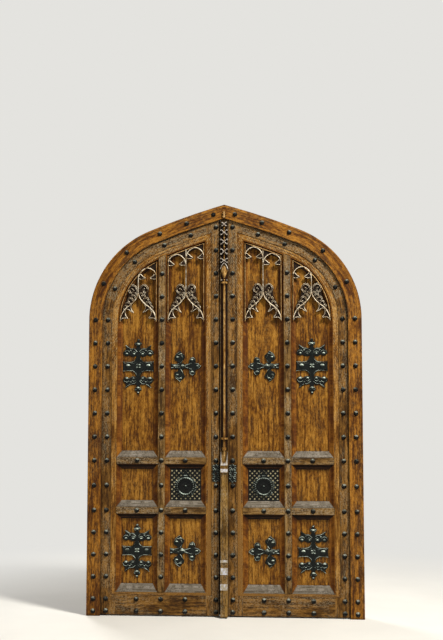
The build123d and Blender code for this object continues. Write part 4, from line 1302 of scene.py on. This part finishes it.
def makePullRing(side):
    bm = bmesh.new()
    lows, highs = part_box("right_pull_ring")
    bar, outer = (highs.y - lows.y) / 2, (highs.x - lows.x) / 2
    reach = outer - bar
    centre = Vector(((lows.x + highs.x) / 2, (lows.y + highs.y) / 2, lows.z + outer))
    turns = [2 * math.pi * index / pullShape["sides"] for index in range(pullShape["sides"])]
    section = [(centre.x + reach + bar * math.cos(a), centre.y + bar * math.sin(a), centre.z) for a in turns]
    verts, edges = chain(bm, section, True)
    bmesh.ops.spin(bm, geom=verts + edges, cent=centre, axis=(0, 1, 0), dvec=(0, 0, 0), angle=2 * math.pi,
                   steps=pullShape["steps"], use_merge=True, use_duplicate=False)
    # The beads take the paler iron: painted highlight.
    known = set(bm.faces)
    beads = {**pullShape["beads"], "reach": reach}
    crest = centre.y - bar * pullShape["beadShare"]
    bossRing(bm, (centre.x, centre.z), crest, beads, rings=5, segments=8)
    markNew(bm, known, 1)
    known = set(bm.faces)
    knuckle, neckLow = highs.z - bar, centre.z + reach
    made = bmesh.ops.create_cone(
        bm, cap_ends=True, segments=pullShape["pinSides"], radius1=bar, radius2=bar,
        depth=pullShape["pinLength"], matrix=Matrix.Rotation(math.pi / 2, 4, "Y"),
    )
    bmesh.ops.translate(bm, verts=made["verts"], vec=(centre.x, centre.y, knuckle))
    neckPlace = (centre.x, centre.y, (knuckle + neckLow) / 2)
    block(bm, (pullShape["neckWidth"], bar, knuckle - neckLow), neckPlace)
    markNew(bm, known, 0)
    materials = [iron["ringIron"], iron["highlightIron"]]
    keepHanded(bm, side, "PullRing", materials, "pull_ring", smoothAngle=40, body="ring")


# Scrolls on the keyhole plates
scrollShape = {
    "half": 3.2 * mm, "crest": 0.8 * mm, "sink": 1 * mm, "rise": 5 * mm, "ends": (1.0, 0.5),
    "knob": {"place": (0.5, 0.36), "radius": 6 * mm},
    "paths": [[(0.08, 0.3), (0.3, 0.5), (0.7, 0.62), (0.86, 0.46), (0.6, 0.26), (0.28, 0.34)],
              [(0.1, 0.98), (0.4, 0.78), (0.8, 0.9)], [(0.9, 0.04), (0.66, 0.12), (0.3, 0.08)]],
}


def makeScrolls(side):
    bm = bmesh.new()
    lows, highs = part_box("right_escutcheon")
    middle, half = (lows + highs) / 2, (highs - lows) / 2
    front, knob = lows.y, scrollShape["knob"]
    back, crown = front + scrollShape["sink"], front - scrollShape["rise"]

    def at(points, sideX, sideZ):
        return [(middle.x + sideX * x * half.x, middle.z + sideZ * z * half.z) for x, z in points]

    for sideZ in (-1, 1):
        for sideX in (-1, 1):
            for path in scrollShape["paths"]:
                line = throughPoints(at(path, sideX, sideZ), 3)
                rib(bm, line, scrollShape["half"], scrollShape["crest"], back, crown, scrollShape["ends"])
            boss(bm, at([knob["place"]], sideX, sideZ)[0], front, knob["radius"], knob["radius"])
    keepHanded(bm, side, "EscutcheonScrolls", [iron["highlightIron"]])


# The bar over the meeting joint: a hollowed board with a slender shaft, set-offs and a forked stop
barShape = {
    "hollowFoot": 1424 * mm, "margin": 3.5 * mm, "depth": 8.5 * mm, "core": 9 * mm,
    "coreDrop": 4 * mm, "coreSink": 1 * mm,
    "prong": [(31.3, 1298), (8, 1298), (17, 1330), (23, 1372), (27.5, 1418), (31.3, 1418)],
    "prongFront": -60 * mm, "prongEdge": 3 * mm,
}


def cleanCopy(node):
    bm = bmesh.new()
    bm.from_mesh(cadNodes[node].data)
    bmesh.ops.remove_doubles(bm, verts=bm.verts, dist=0.01 * mm)
    bmesh.ops.dissolve_limit(bm, angle_limit=math.radians(1.0), verts=bm.verts, edges=bm.edges)
    return bm


def makeCoverBar():
    bm = cleanCopy("right_cover_bar")
    hollowFoot, depth, core = barShape["hollowFoot"], barShape["depth"], barShape["core"]
    everything = bm.verts[:] + bm.edges[:] + bm.faces[:]
    bmesh.ops.bisect_plane(bm, geom=everything, plane_co=(0, 0, hollowFoot), plane_no=(0, 0, 1))
    boards = [f for f in bm.faces if f.normal.y < -0.99 and f.calc_center_median().z > hollowFoot]
    board = max(boards, key=lambda f: f.calc_area())
    face = board.calc_center_median().y
    bmesh.ops.inset_region(bm, faces=[board], thickness=barShape["margin"], depth=0)
    grown = bmesh.ops.extrude_face_region(bm, geom=[board])["geom"]
    floor = [item for item in grown if isinstance(item, bmesh.types.BMFace)]
    moved = [item for item in grown if isinstance(item, bmesh.types.BMVert)]
    bmesh.ops.translate(bm, verts=moved, vec=(0, depth, 0))
    bmesh.ops.delete(bm, geom=[board], context="FACES_ONLY")
    # The floor and sides of the hollow take the dark oak: painted shade.
    for item in floor + [f for e in floor[0].edges for f in e.link_faces]:
        item.material_index = 1
    known = set(bm.faces)
    foot, crown = hollowFoot - barShape["coreDrop"], low("right_pinnacle").z
    size = (2 * core, depth + barShape["coreSink"], crown - foot)
    block(bm, size, (0, face + depth / 2, (crown + foot) / 2))
    markNew(bm, known, 2)
    known = set(bm.faces)
    for side in (-1, 1):
        prong = [(side * x * mm, z * mm) for x, z in barShape["prong"]]
        plate(bm, prong, face, barShape["prongFront"], barShape["prongEdge"])
    markNew(bm, known, 3)
    materials = [oak["barUpright"], oak["hollowUpright"], oak["shaftUpright"], carved["carvedPale"]]
    keepPiece(bm, "rightCoverBar", materials, "right_leaf", ["right_cover_bar"])


pinnacleShape = {      # in millimetres, with heights above its foot
    "bulb": [(4, 26), (8, 34), (20, 60), (30, 92), (28, 116), (16, 138), (5, 152)],
    "bulbDepth": 0.68,
    "knob": (9, 9, 12),
    "crockets": [(182, 30, 20), (262, 29, 26), (350, 29, 24), (434, 28, 24), (508, 20, 18)],
    "beads": [(222, 7), (306, 9), (388, 8), (474, 8)],
    "beadDepth": 12,
    "stem": {"foot": 140, "top": 520, "width": 7, "depth": 14},
    "roof": [(2, 160), (14, 146), (26, 124), (31, 104)],
    "arm": [(0.06, 0.02), (0.4, 0.4), (0.78, 0.85), (1.0, 0.95), (1.0, 0.55)],
    "armSink": 8,
    "armRib": (5.5, 2.2),
    "roofRib": (5, 2),
    "sideKnob": {"place": (24, 6), "radius": 7, "height": 9, "rise": 4},
}


def makePinnacle():
    bm = bmesh.new()
    lows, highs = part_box("right_pinnacle")
    foot, back, front = lows.z, highs.y, lows.y
    bulb = [(radius * mm, 0, height * mm) for radius, height in pinnacleShape["bulb"]]
    verts, edges = chain(bm, bulb, False)
    bmesh.ops.spin(bm, geom=verts + edges, cent=(0, 0, 0), axis=(0, 0, 1), dvec=(0, 0, 0), angle=2 * math.pi,
                   steps=16, use_merge=True, use_duplicate=False)
    bmesh.ops.holes_fill(bm, edges=bm.edges)
    bmesh.ops.scale(bm, verts=bm.verts, vec=(1, pinnacleShape["bulbDepth"], 1))
    bmesh.ops.translate(bm, verts=bm.verts, vec=(0, back, foot))
    height, radius, depth = [value * mm for value in pinnacleShape["knob"]]
    boss(bm, (0, foot + height), back - pinnacleShape["armSink"] * mm, radius, depth)
    beadDepth = pinnacleShape["beadDepth"] * mm
    for height, radius in pinnacleShape["beads"]:
        boss(bm, (0, foot + height * mm), back - beadDepth / 2, radius * mm, beadDepth)
    stem = {key: value * mm for key, value in pinnacleShape["stem"].items()}
    middle = foot + (stem["foot"] + stem["top"]) / 2
    block(bm, (stem["width"], stem["depth"], stem["top"] - stem["foot"]), (0, back, middle))
    known = set(bm.faces)
    armBack = back + pinnacleShape["armSink"] * mm
    armHalf, armCrest = [value * mm for value in pinnacleShape["armRib"]]
    roofHalf, roofCrest = [value * mm for value in pinnacleShape["roofRib"]]
    knob = pinnacleShape["sideKnob"]
    for side in (-1, 1):
        for height, half, rise in pinnacleShape["crockets"]:
            for up in (-1, 1):
                arm = [(side * x * half * mm, foot + (height + up * z * rise) * mm)
                       for x, z in pinnacleShape["arm"]]
                rib(bm, throughPoints(arm, 3), armHalf, armCrest, armBack, front, (1.0, 0.8))
        roof = [(side * x * mm, foot + z * mm) for x, z in pinnacleShape["roof"]]
        rib(bm, throughPoints(roof, 3), roofHalf, roofCrest, armBack, front)
        place = (side * knob["place"][0] * mm, foot + knob["place"][1] * mm)
        boss(bm, place, back - knob["rise"] * mm, knob["radius"] * mm, knob["height"] * mm)
    markNew(bm, known, 1)
    materials = [oak["shaftUpright"], carved["carvedPale"]]
    keepPiece(bm, "rightPinnacle", materials, "right_leaf", ["right_pinnacle"], smoothAngle=40)


# Copies of the plain timber with its edges eased
easedEdge = {"width": 1.6 * mm, "segments": 2, "sharp": 30}


def easedCopy(node, name, material):
    bm = cleanCopy(node)
    sharp = math.radians(easedEdge["sharp"])
    edges = [e for e in bm.edges if len(e.link_faces) == 2 and e.calc_face_angle(0) > sharp]
    bmesh.ops.bevel(bm, geom=edges, offset=easedEdge["width"], offset_type="OFFSET", profile=0.5,
                    segments=easedEdge["segments"], affect="EDGES", material=-1, clamp_overlap=True)
    return keepPiece(bm, name, [material], cadNodes[node]["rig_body"], [node])


def dress(node, material):
    mesh = cadNodes[node].data
    mesh.materials.clear()
    mesh.materials.append(material)


frameTimber = {
    "jamb": ("frameJamb", "frameUpright"),
    "head": ("frameHead", "frameArched"),
}
leafTimber = {
    "outer_stile": ("OuterStile", "stileUpright"),
    "meeting_stile": ("MeetingStile", "meetingUpright"),
    "arched_stile": ("ArchedStile", "archedStileArched"),
    "bottom_rail": ("BottomRail", "stileLevel"),
    "muntin": ("Muntin", "muntinUpright"),
    "cross_rails": ("CrossRails", "muntinLevel"),
}
for node, (title, finish) in frameTimber.items():
    for word in ("left", "right"):
        easedCopy("frame_" + node + "_" + word, title + word.capitalize(), oak[finish])
for word in ("left", "right"):
    for node, (title, finish) in leafTimber.items():
        easedCopy(word + "_" + node, word + title, oak[finish])
print("timber of frame and leaves")

for word in ("left", "right"):
    for tier in tiers:
        dress(word + "_" + tier + "_panels", oak["panelUpright"])
    for node in (word + "_escutcheon", word + "_hinge_bands", "hinge_hooks_" + word):
        dress(node, iron["wroughtIron"])
    dress(word + "_ring_hanger", iron["ringIron"])
dress("right_cover_shaft", oak["shaftUpright"])
dress("head_finial", carved["carvedEdge"])
for node in (
    "bolt_keeper", "right_lock_keeper", "right_bolt_guides", "left_lock_case", "top_bolt", "foot_bolt",
):
    dress(node, iron["wroughtIron"])
dress("left_lock_bolt", lockSteel)
makeCoverBar()
makePinnacle()
print("cover bar and pinnacle")

for side in (-1, 1):
    makeMouldings(side)
    makeBorder(side)
print("mouldings and borders")
for side in (-1, 1):
    for column in columns:
        makeTracery(side, column)
print("tracery")
for side in (-1, 1):
    makeCrosses(side)
    makeStraps(side)
    makeRingPlate(side)
    makePullRing(side)
    makeScrolls(side)
print("ironwork")
makeStuds("frame_studs", "frameStuds", "frame")
makeStuds("left_studs", "leftStuds", "left_leaf")
makeStuds("right_studs", "rightStuds", "right_leaf")
print("studs")

print("CAD size:", [round(x, 4) for x in cadHigh - cadLow])
